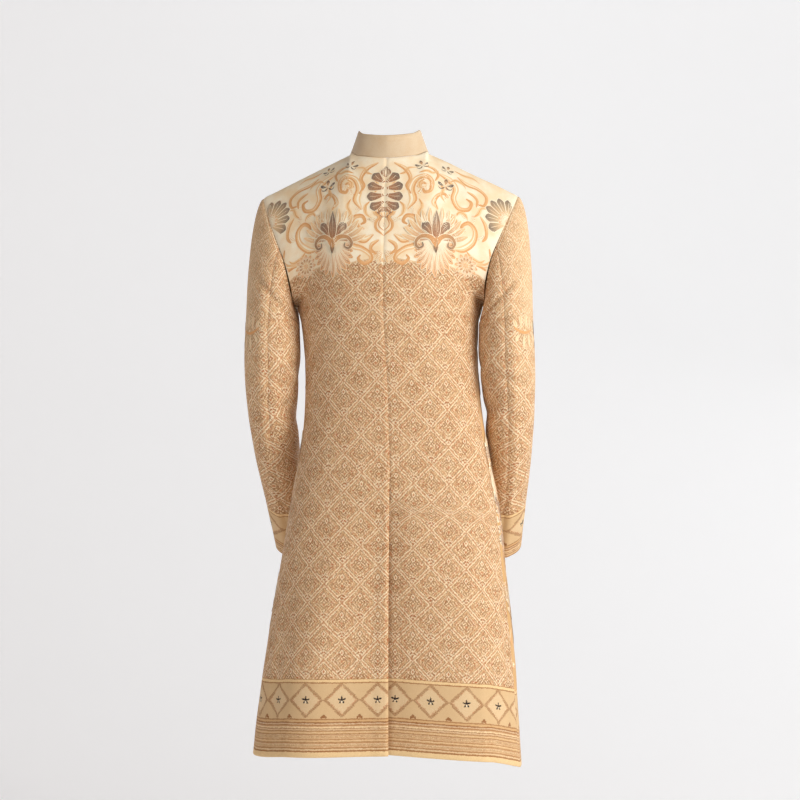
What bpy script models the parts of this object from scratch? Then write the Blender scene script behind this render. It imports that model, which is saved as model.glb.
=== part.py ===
"""Sherwani coat, worn and empty: a knee-length fitted coat with a stand collar, two-piece sleeves,
a centre-back vent and a buttoned front.

Metres, +Z up. The wearer faces -Y, so +X is the wearer's left. The origin is on the neck's axis,
level with the nape (the collar seam at centre back), where the coat is carried.
"""

from collections import namedtuple

import bmesh
import bpy
import numpy as np
from mathutils import Vector

# ---- Driving sizes -----------------------------------------------------------------------------

CLOTH = 0.002  # brocade with its backing
SEAM_GAP = 0.0005  # between two pieces that are sewn edge to edge
LAP_DEPTH = 0.0032  # how far an underlap lies below the piece that covers it
COAT_LENGTH = 1.047  # nape to hem at centre back
COLLAR_HEIGHT = 0.040
COLLAR_CLOTH = 0.0026  # the collar is stiffened
COLLAR_END = 176  # degrees from the nape round to the collar's front end
FRONT_LAP = 0.020  # how far each front runs past centre front
VENT_LAP = 0.038
BUTTON_COUNT = 8
BUTTON_RADIUS = 0.0085
BUTTON_HEIGHT = 0.0062
FIRST_BUTTON = -0.100
LAST_BUTTON = -0.600

# ---- The worn shape ----------------------------------------------------------------------------

# A level section of the coat's body. back, front and side_y are measured from the middle of the
# figure, before the section is moved and turned by its sway.
Section = namedtuple("Section", "height half_width back front side_y")
SECTIONS = (
    Section(-0.290, 0.160, 0.122, 0.123, 0.004),
    Section(-0.350, 0.156, 0.111, 0.118, 0.006),
    Section(-0.420, 0.157, 0.103, 0.113, 0.010),
    Section(-0.510, 0.167, 0.108, 0.113, 0.014),
    Section(-0.620, 0.187, 0.124, 0.117, 0.014),
    Section(-0.750, 0.205, 0.134, 0.125, 0.008),
    Section(-0.900, 0.225, 0.142, 0.133, 0.004),
    Section(-1.090, 0.243, 0.150, 0.142, 0.000),
)
WAIST_UP = SECTIONS[0].height  # above this level the panels run up to the neck and shoulders
HIPS, HEM = -0.620, -1.090
HIP_SHIFT, HEM_SHIFT = -0.010, 0.007  # the figure's sway, towards +X
HEM_TURN = 7  # degrees that the skirt turns by down to the hem, as the hips face a little aside


def swayed(section):
    """The section with its shift and turn: it sways out to the hips and back again to the hem."""
    above = np.clip((WAIST_UP - section.height) / (WAIST_UP - HIPS), 0, 1)
    below = np.clip((HIPS - section.height) / (HIPS - HEM), 0, 1)
    shift = HIP_SHIFT * np.sin(np.pi / 2 * above) + (HEM_SHIFT - HIP_SHIFT) * below
    return (*section, shift, HEM_TURN * below)


RINGS = [swayed(section) for section in SECTIONS]
SQUARE_BACK, SQUARE_FRONT = 0.60, 0.54  # Bezier handle over radius: 0.55 is an ellipse
SQUARE_SKIRT = 0.24  # added to the back's as the skirt falls
# The side seam's place on the way round from centre back to centre front, and how far the skirt's
# hang swings each seam towards the back at the hem.
SEAM_SHARE, SEAM_SWING = 0.455, {"left": 0.0, "right": 0.075}

# How far the hem hangs below its height at centre back, at shares of the way round to the front.
HEM_SHARES = (0.0, 0.22, 0.40, 0.75, 1.0)
HEM_DROP = {"left": (0.000, 0.004, 0.012, 0.020, 0.020), "right": (0.000, 0.014, 0.034, 0.032, 0.020)}

# The neck seam, turning from the nape round by the wearer's left.
Neck = namedtuple("Neck", "turn x y z")
NECK = (
    Neck(-45, -0.0500, 0.046, 0.006),
    Neck(0, 0.0000, 0.063, 0.000),
    Neck(45, 0.0500, 0.046, 0.006),
    Neck(90, 0.0700, 0.003, 0.014),
    Neck(135, 0.0500, -0.052, -0.032),
    Neck(180, 0.0000, -0.078, -0.070),
    Neck(225, -0.0500, -0.052, -0.032),
)
SIDE_NECK = 92  # the shoulder seam meets the neck here, in degrees from the nape
COLLAR_LEAN = ((0, 8), (60, 16), (95, 22), (135, 18), (180, 12))  # degrees in from upright, by turn

# The armhole seam, once round from the shoulder point by the back, the underarm and the front.
Scye = namedtuple("Scye", "turn x y z")
SCYE = (
    Scye(-40, 0.2120, -0.040, -0.1000),
    Scye(0, 0.2310, -0.006, -0.0640),
    Scye(40, 0.2185, 0.030, -0.0980),
    Scye(75, 0.2010, 0.056, -0.1400),
    Scye(110, 0.1820, 0.067, -0.1900),
    Scye(145, 0.1710, 0.050, -0.2400),
    Scye(180, 0.1680, 0.006, -0.2620),
    Scye(215, 0.1675, -0.032, -0.2440),
    Scye(250, 0.1690, -0.058, -0.2050),
    Scye(285, 0.1830, -0.062, -0.1520),
    Scye(320, 0.2120, -0.040, -0.1000),
    Scye(360, 0.2310, -0.006, -0.0640),
    Scye(400, 0.2185, 0.030, -0.0980),
)

# The angle from upright that a panel leans at as it meets the neck and shoulder seam, at shares of
# the way from the centre line to the shoulder point.
LEAN = {
    "back": ((-0.25, 46), (0.0, 26), (0.25, 46), (0.45, 84), (0.7, 92), (1.0, 92)),
    "front": ((-0.25, 30), (0.0, 12), (0.25, 30), (0.45, 74), (0.7, 84), (1.0, 88)),
}

# A section of the sleeve that is square to the arm. tilt leans it forwards, in degrees.
Arm = namedtuple("Arm", "height x y half_width half_depth tilt")
ARM = (
    Arm(-0.300, 0.2100, 0.022, 0.0490, 0.062, 0),
    Arm(-0.360, 0.2110, 0.018, 0.0503, 0.058, 2),
    Arm(-0.430, 0.2145, -0.001, 0.0460, 0.053, 12),
    Arm(-0.520, 0.2125, -0.048, 0.0415, 0.049, 27),
    Arm(-0.610, 0.2035, -0.105, 0.0390, 0.046, 32),
    Arm(-0.698, 0.1935, -0.156, 0.0375, 0.043, 32),
)
HIND_SEAM, FORE_SEAM = 90, 252  # the sleeve's two seams, in degrees round from the shoulder point

# Soft folds big enough to change the outline. Each runs from one (across, up) place on its piece
# to another; reach is its half width across, and a negative lift is a hollow.
Fold = namedtuple("Fold", "across_0 up_0 across_1 up_1 reach lift")
FOLDS = {
    "back_left": (
        Fold(0.31, -0.3, 0.28, 0.62, 0.140, 0.0095),
        Fold(0.68, -0.3, 0.64, 0.52, 0.130, -0.0095),
    ),
    "back_right": (
        Fold(0.42, -0.3, 0.36, 0.50, 0.160, 0.0050),
        Fold(0.78, -0.3, 0.74, 0.42, 0.100, -0.0025),
        Fold(0.00, -0.3, 0.00, 0.72, 0.150, -0.0075),
    ),
    "front_left": (Fold(0.50, -0.3, 0.48, 0.50, 0.090, -0.0060),),
    "front_right": (Fold(0.46, -0.3, 0.46, 0.45, 0.090, -0.0050),),
    "sleeve": (
        Fold(160, 1.14, 200, 1.24, 26, -0.0030),
        Fold(120, 1.30, 200, 1.42, 26, -0.0040),
        Fold(110, 1.50, 190, 1.60, 24, -0.0030),
    ),
}

# ---- Where each piece's points lie -------------------------------------------------------------

COLUMNS, NECK_COLUMNS = 11, 5  # across a panel, and the share of them that end on the neck
SKIRT_ROWS, VENT_ROW = 12, 7  # rows from the hem to WAIST_UP, and the one at the vent's top
SIDE_ROWS = 2  # rows from WAIST_UP to the underarm
ARMHOLE_ROWS = 10
CAP_ROWS, ARM_ROWS = 7, 13
TURN_STEP = 180 // ARMHOLE_ROWS  # sleeve columns fall on the armhole's rows
UNDERARM = SIDE_ROWS / (SIDE_ROWS + ARMHOLE_ROWS)
NECK_SHARE = NECK_COLUMNS / COLUMNS

# ---- Colours and finishes ----------------------------------------------------------------------

Finish = namedtuple("Finish", "colour roughness metallic")
BROCADE = Finish((0.74, 0.52, 0.30), 0.62, 0.0)
COLLAR_GOLD = Finish((0.85, 0.66, 0.42), 0.58, 0.0)
BUTTON_GOLD = Finish((0.62, 0.43, 0.22), 0.45, 0.0)

# ---- Curves ------------------------------------------------------------------------------------


def smooth_table(rows, at):
    """The table's columns at each value of its first column, on one smooth line through the rows."""
    table = np.array(rows, float)
    if table[0, 0] > table[-1, 0]:
        table = table[::-1]
    key = table[:, 0]
    slope = np.gradient(table, key, axis=0)
    at = np.clip(at, key[0], key[-1])
    row = np.clip(np.searchsorted(key, at) - 1, 0, len(key) - 2)
    span = (key[row + 1] - key[row])[..., None]
    t = (at - key[row])[..., None] / span
    return hermite(table[row], slope[row] * span, table[row + 1], slope[row + 1] * span, t)


def hermite(start, leaving, end, arriving, t):
    return (
        start * (1 + 2 * t) * (1 - t) ** 2
        + leaving * t * (1 - t) ** 2
        + end * t**2 * (3 - 2 * t)
        + arriving * t**2 * (t - 1)
    )


def bezier(a, b, c, d, t):
    return a * (1 - t) ** 3 + 3 * b * t * (1 - t) ** 2 + 3 * c * t**2 * (1 - t) + d * t**3


def smooth_step(value):
    t = np.clip(value, 0, 1)
    return t * t * (3 - 2 * t)


def unit(vectors):
    return vectors / np.linalg.norm(vectors, axis=-1, keepdims=True)


def column_of(pairs, at):
    return np.interp(at, [pair[0] for pair in pairs], [pair[1] for pair in pairs])


# ---- The body's form ---------------------------------------------------------------------------


def ring_point(height, share):
    """A point of the left half section: share runs from 0 at centre back to 1 at centre front."""
    wide, back, front, side_y = np.moveaxis(smooth_table(RINGS, height), -1, 0)[1:5]
    t_back, t_front = np.clip(share * 2, 0, 1), np.clip(share * 2 - 1, 0, 1)
    behind = share <= 0.5
    squared = SQUARE_BACK + SQUARE_SKIRT * smooth_step((-0.42 - height) / 0.50)
    k = np.where(behind, squared, SQUARE_FRONT)
    x = np.where(
        behind,
        bezier(0, k * wide, wide, wide, t_back),
        bezier(wide, wide, k * wide, 0, t_front),
    )
    y = np.where(
        behind,
        bezier(back, back, side_y + k * (back - side_y), side_y, t_back),
        bezier(side_y, side_y - k * (front + side_y), -front, -front, t_front),
    )
    return np.stack([x, y, height + 0 * x], -1)


def neck_point(turn):
    return smooth_table(NECK, turn)[..., 1:]


def scye_point(turn):
    return smooth_table(SCYE, turn)[..., 1:]


def share_of(panel, across, swing=0.0):
    """Where a panel's place across lies on the way round from centre back to centre front."""
    seam = SEAM_SHARE - swing
    return across * seam if panel == "back" else 1 - across * (1 - seam)


def top_edge(panel, across):
    """The neck seam, then the shoulder seam, from the centre line out to the shoulder point."""
    on_neck = np.clip(across / NECK_SHARE, 0, 1)
    turn = SIDE_NECK * on_neck if panel == "back" else 180 + (SIDE_NECK - 180) * on_neck
    out = np.clip((across - NECK_SHARE) / (1 - NECK_SHARE), 0, 1)[..., None]
    side_neck, shoulder = neck_point(np.array(SIDE_NECK)), scye_point(np.array(0))
    return np.where(out > 0, side_neck + (shoulder - side_neck) * out, neck_point(turn))


def rise_point(panel, across, rise):
    """The cloth from WAIST_UP (rise 0) to the neck and shoulder seam (rise 1), before the armhole
    is cut: it leaves upright and leans over as it nears the seam."""
    share = share_of(panel, across)
    low, below = ring_point(WAIST_UP + 0 * across, share), ring_point(WAIST_UP - 0.02 + 0 * across, share)
    # Away from the seam itself its corner at the side of the neck is smoothed out.
    taps = [across + (1 - rise) * tap for tap in (-0.30, -0.15, 0, 0.15, 0.30)]
    flips = [np.stack([np.sign(tap) + (tap == 0), 1 + 0 * tap, 1 + 0 * tap], -1) for tap in taps]
    high = sum(top_edge(panel, np.abs(tap)) * flip for tap, flip in zip(taps, flips)) / len(taps)
    lean = np.radians(smooth_table(LEAN[panel], across)[..., 1])
    over = np.stack([0 * lean, np.sin(lean) * (-1 if panel == "back" else 1), np.cos(lean)], -1)
    tall = (high - low)[..., 2:]
    return hermite(low, unit(low - below) * 1.25 * tall, high, over * 0.80 * tall, rise[..., None])


def side_edge(panel, rise):
    """The side seam up to the underarm, then the armhole up to the shoulder point."""
    seam = ring_point(WAIST_UP + 0 * rise, SEAM_SHARE + 0 * rise)
    seam = seam + (scye_point(np.array(180)) - seam) * np.clip(rise / UNDERARM, 0, 1)[..., None]
    climb = np.clip((rise - UNDERARM) / (1 - UNDERARM), 0, 1)
    hole = scye_point(180 * (1 - climb) if panel == "back" else 180 * (1 + climb))
    return np.where((rise < UNDERARM)[..., None], seam, hole)


def body_form(panel, side, across, up):
    """The body before its folds. across runs from 0 at the centre line to 1 at the side seam or
    armhole, and below 0 past the centre line; up runs from 0 at the hem to 1 at WAIST_UP and on to
    2 at the neck and shoulder seam."""
    beyond, across = across < 0, np.abs(across)
    share = share_of(panel, across, SEAM_SWING[side] * (1 - np.minimum(up, 1)))
    hem = -COAT_LENGTH - np.interp(share, HEM_SHARES, HEM_DROP[side])
    skirt = ring_point(hem + (WAIST_UP - hem) * np.minimum(up, 1), share)
    rise = np.maximum(up - 1, 0)
    chest = rise_point(panel, across, rise)
    pull = side_edge(panel, rise) - rise_point(panel, 1 + 0 * across, rise)
    point = np.where((up <= 1)[..., None], skirt, chest + pull * (across**2.4)[..., None])
    mirror = np.where(beyond, -1, 1) * (1 if side == "left" else -1)
    level = smooth_table(RINGS, point[..., 2])
    shift, sine, cosine = level[..., 5], np.sin(np.radians(level[..., 6])), np.cos(np.radians(level[..., 6]))
    x, y, z = point[..., 0] * mirror, point[..., 1], point[..., 2]
    return np.stack([x * cosine - y * sine + shift, x * sine + y * cosine, z], -1)


# ---- The sleeve's form -------------------------------------------------------------------------


def arm_point(height, turn):
    _, x, y, half_width, half_depth, tilt = np.moveaxis(smooth_table(ARM, height), -1, 0)
    angle, tilt = np.radians(turn), np.radians(tilt)
    reach = half_depth * np.sin(angle)
    return np.stack(
        [x + half_width * np.cos(angle), y + reach * np.cos(tilt), height - reach * np.sin(tilt)], -1
    )


def sleeve_form(turn, down):
    """The sleeve before its folds, for the left arm. down runs from 0 at the armhole to 1 at the
    cap's end and on to 2 at the cuff."""
    height = ARM[0].height + (ARM[-1].height - ARM[0].height) * np.clip(down - 1, 0, 1)
    start, end = scye_point(np.mod(turn, 360)), arm_point(ARM[0].height + 0 * turn, turn)
    high = (1 + np.cos(np.radians(turn))) / 2
    out, aside = 0.48 + 0.27 * high, 0.22 * np.sin(np.radians(turn))
    leaving = unit(np.stack([out, aside, -np.sqrt(1 - out**2)], -1))
    far = np.linalg.norm(end - start, axis=-1, keepdims=True)
    t = np.clip(down, 0, 1)[..., None]
    cap = hermite(start, leaving * far * 0.38, end, np.array([0.03, 0, -1]) * far * 0.9, t)
    return np.where((down <= 1)[..., None], cap, arm_point(height, turn))


# ---- Folds and laps ----------------------------------------------------------------------------


def normals_of(form, across, up, step):
    """Unit normals of a form, out of the coat, by differences."""
    ahead, behind = form(across + step, up), form(across - step, up)
    higher, lower = form(across, up + 1e-3), form(across, up - 1e-3)
    return unit(np.cross(ahead - behind, higher - lower))


def lift_of(folds, across, up):
    lift = 0.0 * across
    for fold in folds:
        ahead = (up - fold.up_0) / (fold.up_1 - fold.up_0)
        middle = fold.across_0 + (fold.across_1 - fold.across_0) * ahead
        fade = smooth_step((1 - ahead) / 0.4) * smooth_step(ahead / 0.15)
        lift = lift + fold.lift * np.exp(-(((across - middle) / fold.reach) ** 2)) * fade
    return lift


def sleeve_lift(turn, down):
    lift = 0.0 * turn
    for fold in FOLDS["sleeve"]:
        ahead = (np.mod(turn, 360) - fold.across_0) / (fold.across_1 - fold.across_0)
        middle = fold.up_0 + (fold.up_1 - fold.up_0) * np.clip(ahead, 0, 1)
        fade = smooth_step(1.6 - 2.2 * np.abs(ahead - 0.5))
        lift = lift + fold.lift * np.exp(-(((down - middle) / 0.045) ** 2)) * fade
    return lift


# ---- Making cloth ------------------------------------------------------------------------------


def grid_mesh(bm, points):
    """A grid of quads through an array of points (columns, rows, 3)."""
    columns, rows = points.shape[:2]
    made = bmesh.ops.create_grid(bm, x_segments=columns - 1, y_segments=rows - 1, size=1)["verts"]
    for vert, place in zip(made, points.transpose(1, 0, 2).reshape(-1, 3), strict=True):
        vert.co = place
    return made


def material(name, finish):
    made = bpy.data.materials.new(name)
    made.use_nodes = True
    shader = made.node_tree.nodes["Principled BSDF"]
    shader.inputs["Base Color"].default_value = (*finish.colour, 1.0)
    shader.inputs["Roughness"].default_value = finish.roughness
    shader.inputs["Metallic"].default_value = finish.metallic
    return made


def add_node(name, bm, finish):
    mesh = bpy.data.meshes.new(name)
    bmesh.ops.recalc_face_normals(bm, faces=bm.faces)
    bm.to_mesh(mesh)
    bm.free()
    mesh.shade_smooth()
    mesh.materials.append(material(f"{name}_finish", finish))
    COAT.objects.link(bpy.data.objects.new(name, mesh))


def cloth_wall(name, outside, normals, thick, finish):
    """A cloth wall: its outside, the same grid one cloth further in, and a rim that joins them."""
    bm = bmesh.new()
    grid_mesh(bm, outside)
    grid_mesh(bm, outside - normals * thick)
    bmesh.ops.bridge_loops(bm, edges=[edge for edge in bm.edges if edge.is_boundary])
    add_node(name, bm, finish)


def share_normals(pieces):
    """Where pieces meet at a seam and lie nearly in one plane, give them one normal, so that their
    cut edges face each other."""
    edges = {name: rim_mask(piece.points) for name, piece in pieces.items()}
    places = np.concatenate([piece.points[edges[name]] for name, piece in pieces.items()])
    facing = np.concatenate([piece.normals[edges[name]] for name, piece in pieces.items()])
    near = np.linalg.norm(places[:, None] - places[None], axis=-1) < 0.0008
    near &= facing @ facing.T > 0
    shared = unit(near.astype(float) @ facing)
    start = 0
    for name, piece in pieces.items():
        count = edges[name].sum()
        piece.normals[edges[name]] = shared[start : start + count]
        start += count


def rim_mask(points):
    mask = np.ones(points.shape[:2], bool)
    mask[1:-1, 1:-1] = False
    return mask


def trim_rim(points, gap):
    """Draw a piece's rim in by a gap, square to the rim."""
    trimmed = points.copy()
    for rim, inside in ((np.s_[0], 1), (np.s_[-1], -2), (np.s_[:, 0], 1), (np.s_[:, -1], -2)):
        line = points[rim]
        inner = points[inside] if isinstance(rim, int) else points[:, inside]
        along = unit(np.gradient(line, axis=0))
        way = inner - line
        trimmed[rim] += unit(way - along * np.sum(way * along, axis=-1, keepdims=True)) * gap
    return trimmed


# ---- The coat's pieces -------------------------------------------------------------------------

for existing in list(bpy.data.objects):
    bpy.data.objects.remove(existing, do_unlink=True)
COAT = bpy.data.collections.new("sherwani_coat")
bpy.context.scene.collection.children.link(COAT)

Piece = namedtuple("Piece", "points normals")
pieces = {}

# Body panels: two backs and two fronts, each cut in one from the neck and shoulder to the hem. The
# right back runs on under the left below the vent's top, and the right front under the left front.
rows_up = np.concatenate(
    [
        np.linspace(0, 1, SKIRT_ROWS + 1)[:-1],
        1 + np.linspace(0, UNDERARM, SIDE_ROWS + 1)[:-1],
        1 + np.linspace(UNDERARM, 1, ARMHOLE_ROWS + 1),
    ]
)
for panel in ("back", "front"):
    for side in ("left", "right"):
        across = np.linspace(0, 1, COLUMNS + 1)
        if (panel, side) == ("back", "right"):
            across = np.insert(across, 1, across[1] / 2)
        if panel == "front":
            across = np.insert(across, 0, 0)
        across, up = np.meshgrid(across, rows_up, indexing="ij")
        width = body_form(panel, side, 0 * up + 0.02, up) - body_form(panel, side, 0 * up, up)
        per_metre = 0.02 / np.linalg.norm(width, axis=-1)
        sunk = 0.0 * up
        if panel == "front":
            across[0] = -(FRONT_LAP * per_metre)[0]
            if side == "right":
                sunk = LAP_DEPTH * smooth_step((2.05 - across * COLUMNS) / 1.0)
        elif side == "right":
            lapped = (np.arange(len(rows_up)) < VENT_ROW).astype(float)
            across[0] = -(VENT_LAP * per_metre)[0] * lapped
            across[1] = across[1] * (1 - lapped) + (0.003 * per_metre)[1] * lapped
            lowered = (np.arange(len(rows_up)) <= VENT_ROW).astype(float)
            sunk = LAP_DEPTH * smooth_step((1.0 - across * COLUMNS) / 0.8) * lowered

        def form(across, up, panel=panel, side=side):
            return body_form(panel, side, across, up)

        # The grid turns the same way as the wearer's left back on two panels and against it on two.
        outward = 1 if (panel == "front") == (side == "left") else -1
        clear = np.where(np.abs(across) < 2e-3, 2e-3, across)
        normals = normals_of(form, clear, np.clip(up, 2e-3, 2 - 2e-3), 1e-3) * outward
        lift = lift_of(FOLDS[f"{panel}_{side}"], across, up) - sunk
        points = form(across, up) + normals * lift[..., None]
        pieces[f"{panel}_{side}"] = Piece(points, normals)

# Sleeves: each a top sleeve, over the shoulder point, and an under sleeve that faces the body.
rows_down = np.concatenate([np.linspace(0, 1, CAP_ROWS + 1)[:-1], 1 + np.linspace(0, 1, ARM_ROWS + 1)])
for side, mirror in (("left", 1), ("right", -1)):
    for half, first, last in (
        ("top_sleeve", FORE_SEAM - 360, HIND_SEAM),
        ("under_sleeve", HIND_SEAM, FORE_SEAM),
    ):
        turn, down = np.meshgrid(np.arange(first, last + 1, TURN_STEP), rows_down, indexing="ij")
        normals = -normals_of(sleeve_form, turn, np.clip(down, 2e-3, 2 - 2e-3), 1e-2)
        points = sleeve_form(turn, down) + normals * sleeve_lift(turn, down)[..., None]
        pieces[f"{half}_{side}"] = Piece(points * (mirror, 1, 1), normals * (mirror, 1, 1))

share_normals(pieces)
for name, piece in pieces.items():
    drawn_in = SEAM_GAP * (1.1 if "sleeve" in name else 0.5)
    cloth_wall(name, trim_rim(piece.points, drawn_in), piece.normals, CLOTH, BROCADE)

# Stand collar: one stiffened band that follows the neck seam, open at centre front.
steps = NECK_COLUMNS + 1
neck_turns = np.unique([np.linspace(0, SIDE_NECK, steps), np.linspace(SIDE_NECK, 180, steps)])
half_foot = neck_point(neck_turns)
last = (COLLAR_END - neck_turns[-2]) / (180 - neck_turns[-2])
half_foot[-1], neck_turns[-1] = half_foot[-2] + (half_foot[-1] - half_foot[-2]) * last, COLLAR_END
foot_line = np.concatenate([half_foot[:0:-1] * (-1, 1, 1), half_foot])
turns = np.concatenate([-neck_turns[:0:-1], neck_turns])
turn, rise = np.meshgrid(turns, np.linspace(0, 1, 4), indexing="ij")
foot = foot_line[:, None] + np.zeros((1, 4, 1))
along = np.gradient(foot, axis=0)
inward = unit(np.cross(along, (0, 0, 1)))
lean = np.radians(column_of(COLLAR_LEAN, np.abs(turn)))[..., None]
upward = np.array([0, 0, 1]) * np.cos(lean) + inward * np.sin(lean)
collar = foot + upward * (SEAM_GAP + COLLAR_HEIGHT * rise)[..., None]
cloth_wall("collar", collar, unit(np.cross(upward, along)), COLLAR_CLOTH, COLLAR_GOLD)

# Buttons: low domes in a row down centre front, sewn on the left front. Each is a profile turned
# about its own axis, on a normal of the cloth.
BUTTON_PROFILE = ((0, 0), (0.92, 0), (1, 0.22), (0.82, 0.66), (0.45, 0.93), (0, 1))  # radii, heights
line, facing = pieces["front_left"].points[1], pieces["front_left"].normals[1]
profile = bpy.data.meshes.new("button")
profile.from_pydata(
    [(out * BUTTON_RADIUS, 0, high * BUTTON_HEIGHT) for out, high in BUTTON_PROFILE],
    [(step, step + 1) for step in range(len(BUTTON_PROFILE) - 1)],
    [],
)
profile.materials.append(material("button_finish", BUTTON_GOLD))
for number in range(BUTTON_COUNT):
    height = FIRST_BUTTON + (LAST_BUTTON - FIRST_BUTTON) * number / (BUTTON_COUNT - 1)
    seat = Vector([np.interp(height, line[:, 2], line[:, axis]) for axis in range(3)])
    normal = Vector([np.interp(height, line[:, 2], facing[:, axis]) for axis in range(3)]).normalized()
    button = bpy.data.objects.new(f"button_{number + 1}", profile)
    COAT.objects.link(button)
    button.location = seat + normal * SEAM_GAP
    button.rotation_euler = normal.to_track_quat("Z", "Y").to_euler()
    turned = button.modifiers.new("turned", "SCREW")
    turned.steps = turned.render_steps = 12
    turned.use_merge_vertices = True
    turned.merge_threshold = 1e-5
    turned.use_normal_calculate = True
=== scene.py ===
"""A sherwani coat, worn and empty: a knee-length coat of woven brocade with a stand collar, fitted
sleeves, a centre-back vent and a buttoned front.

Metres, +Z up. The wearer faces -Y, so +X is the wearer's left. The origin is on the neck's axis,
level with the nape.
"""

from collections import namedtuple

import bpy
import numpy as np
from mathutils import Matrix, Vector


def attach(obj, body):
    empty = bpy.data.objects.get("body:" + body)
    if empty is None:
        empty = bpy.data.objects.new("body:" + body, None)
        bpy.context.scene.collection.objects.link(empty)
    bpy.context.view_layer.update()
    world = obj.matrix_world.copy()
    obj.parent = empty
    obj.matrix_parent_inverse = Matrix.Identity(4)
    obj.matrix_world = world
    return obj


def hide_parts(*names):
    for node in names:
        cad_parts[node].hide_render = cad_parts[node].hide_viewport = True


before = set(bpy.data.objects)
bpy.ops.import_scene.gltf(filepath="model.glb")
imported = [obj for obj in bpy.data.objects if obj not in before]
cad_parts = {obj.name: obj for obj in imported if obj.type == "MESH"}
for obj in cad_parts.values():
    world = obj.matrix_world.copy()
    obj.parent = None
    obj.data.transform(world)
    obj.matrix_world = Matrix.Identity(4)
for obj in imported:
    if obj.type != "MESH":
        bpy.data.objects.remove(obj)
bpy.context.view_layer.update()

# ==== The body of the coat ======================================================================
# Two backs and two fronts of gold brocade, each cut in one from the neck and shoulder to the hem.
# The back is open from the hips down, where the right back runs on under the left, and the left
# front laps over the right.

CLOTH = 0.0018
LAP_DEPTH = 0.0032  # how far an underlap lies below the piece that covers it
COAT_LENGTH = 1.047  # nape to hem at centre back
FRONT_LAP = 0.020  # how far each front runs past centre front
VENT_LAP = 0.038
VENT_TOP = 7 / 12  # of the way from the hem up to the waist level below

# A level section of the coat's body. back, front and side_y are measured from the middle of the
# figure, before the section is moved and turned by its sway.
Section = namedtuple("Section", "height half_width back front side_y")
SECTIONS = (
    Section(-0.290, 0.160, 0.122, 0.123, 0.004),
    Section(-0.350, 0.156, 0.111, 0.118, 0.006),
    Section(-0.420, 0.157, 0.103, 0.113, 0.010),
    Section(-0.510, 0.167, 0.108, 0.113, 0.014),
    Section(-0.620, 0.187, 0.124, 0.117, 0.014),
    Section(-0.750, 0.205, 0.134, 0.125, 0.008),
    Section(-0.900, 0.225, 0.142, 0.133, 0.004),
    Section(-1.090, 0.243, 0.150, 0.142, 0.000),
)
WAIST_UP = SECTIONS[0].height  # above this level the panels run up to the neck and shoulders
HIPS, HEM = -0.620, -1.090
HIP_SHIFT, HEM_SHIFT = -0.010, 0.007  # the figure's sway, towards +X
HEM_TURN = 7  # degrees that the skirt turns by, between the hips and the hem


def swayed(section):
    """The section with its shift and turn: it sways out to the hips and back again to the hem."""
    above = np.clip((WAIST_UP - section.height) / (WAIST_UP - HIPS), 0, 1)
    below = np.clip((HIPS - section.height) / (HIPS - HEM), 0, 1)
    shift = HIP_SHIFT * np.sin(np.pi / 2 * above) + (HEM_SHIFT - HIP_SHIFT) * below
    return (*section, shift, HEM_TURN * below)


RINGS = [swayed(section) for section in SECTIONS]
SQUARE_BACK, SQUARE_FRONT = 0.60, 0.54  # Bezier handle over radius: 0.55 is an ellipse
SQUARE_SKIRT = 0.24  # added to the back's as the skirt falls
# The side seam's place on the way round from centre back to centre front, and how far the skirt's
# hang swings each seam towards the back at the hem.
SEAM_SHARE, SEAM_SWING = 0.455, {"left": 0.0, "right": 0.075}

# How far the hem hangs below its height at centre back, at shares of the way round to the front.
HEM_SHARES = (0.0, 0.22, 0.40, 0.75, 1.0)
HEM_DROP = {"left": (0.000, 0.004, 0.012, 0.020, 0.020), "right": (0.000, 0.014, 0.034, 0.032, 0.020)}

# The neck seam, turning from the nape round by the wearer's left.
Neck = namedtuple("Neck", "turn x y z")
NECK = (
    Neck(-45, -0.0500, 0.046, 0.006),
    Neck(0, 0.0000, 0.063, 0.000),
    Neck(45, 0.0500, 0.046, 0.006),
    Neck(90, 0.0700, 0.003, 0.014),
    Neck(135, 0.0500, -0.052, -0.032),
    Neck(180, 0.0000, -0.078, -0.070),
    Neck(225, -0.0500, -0.052, -0.032),
)
SIDE_NECK = 92  # the shoulder seam meets the neck here, in degrees from the nape

# The armhole seam, once round from the shoulder point by the back, the underarm and the front.
Scye = namedtuple("Scye", "turn x y z")
SCYE = (
    Scye(-40, 0.2120, -0.040, -0.1000),
    Scye(0, 0.2310, -0.006, -0.0640),
    Scye(40, 0.2185, 0.030, -0.0980),
    Scye(75, 0.2010, 0.056, -0.1400),
    Scye(110, 0.1820, 0.067, -0.1900),
    Scye(145, 0.1710, 0.050, -0.2400),
    Scye(180, 0.1680, 0.006, -0.2620),
    Scye(215, 0.1675, -0.032, -0.2440),
    Scye(250, 0.1690, -0.058, -0.2050),
    Scye(285, 0.1830, -0.062, -0.1520),
    Scye(320, 0.2120, -0.040, -0.1000),
    Scye(360, 0.2310, -0.006, -0.0640),
    Scye(400, 0.2185, 0.030, -0.0980),
)

# The angle from upright that a panel leans at as it meets the neck and shoulder seam, at shares of
# the way from the centre line to the shoulder point.
LEAN = {
    "back": ((-0.25, 46), (0.0, 26), (0.25, 46), (0.45, 84), (0.7, 92), (1.0, 92)),
    "front": ((-0.25, 30), (0.0, 12), (0.25, 30), (0.45, 74), (0.7, 84), (1.0, 88)),
}
UNDERARM = 2 / 12  # of the way from WAIST_UP to the shoulder
NECK_SHARE = 5 / 11  # of a panel's width that ends on the neck


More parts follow.
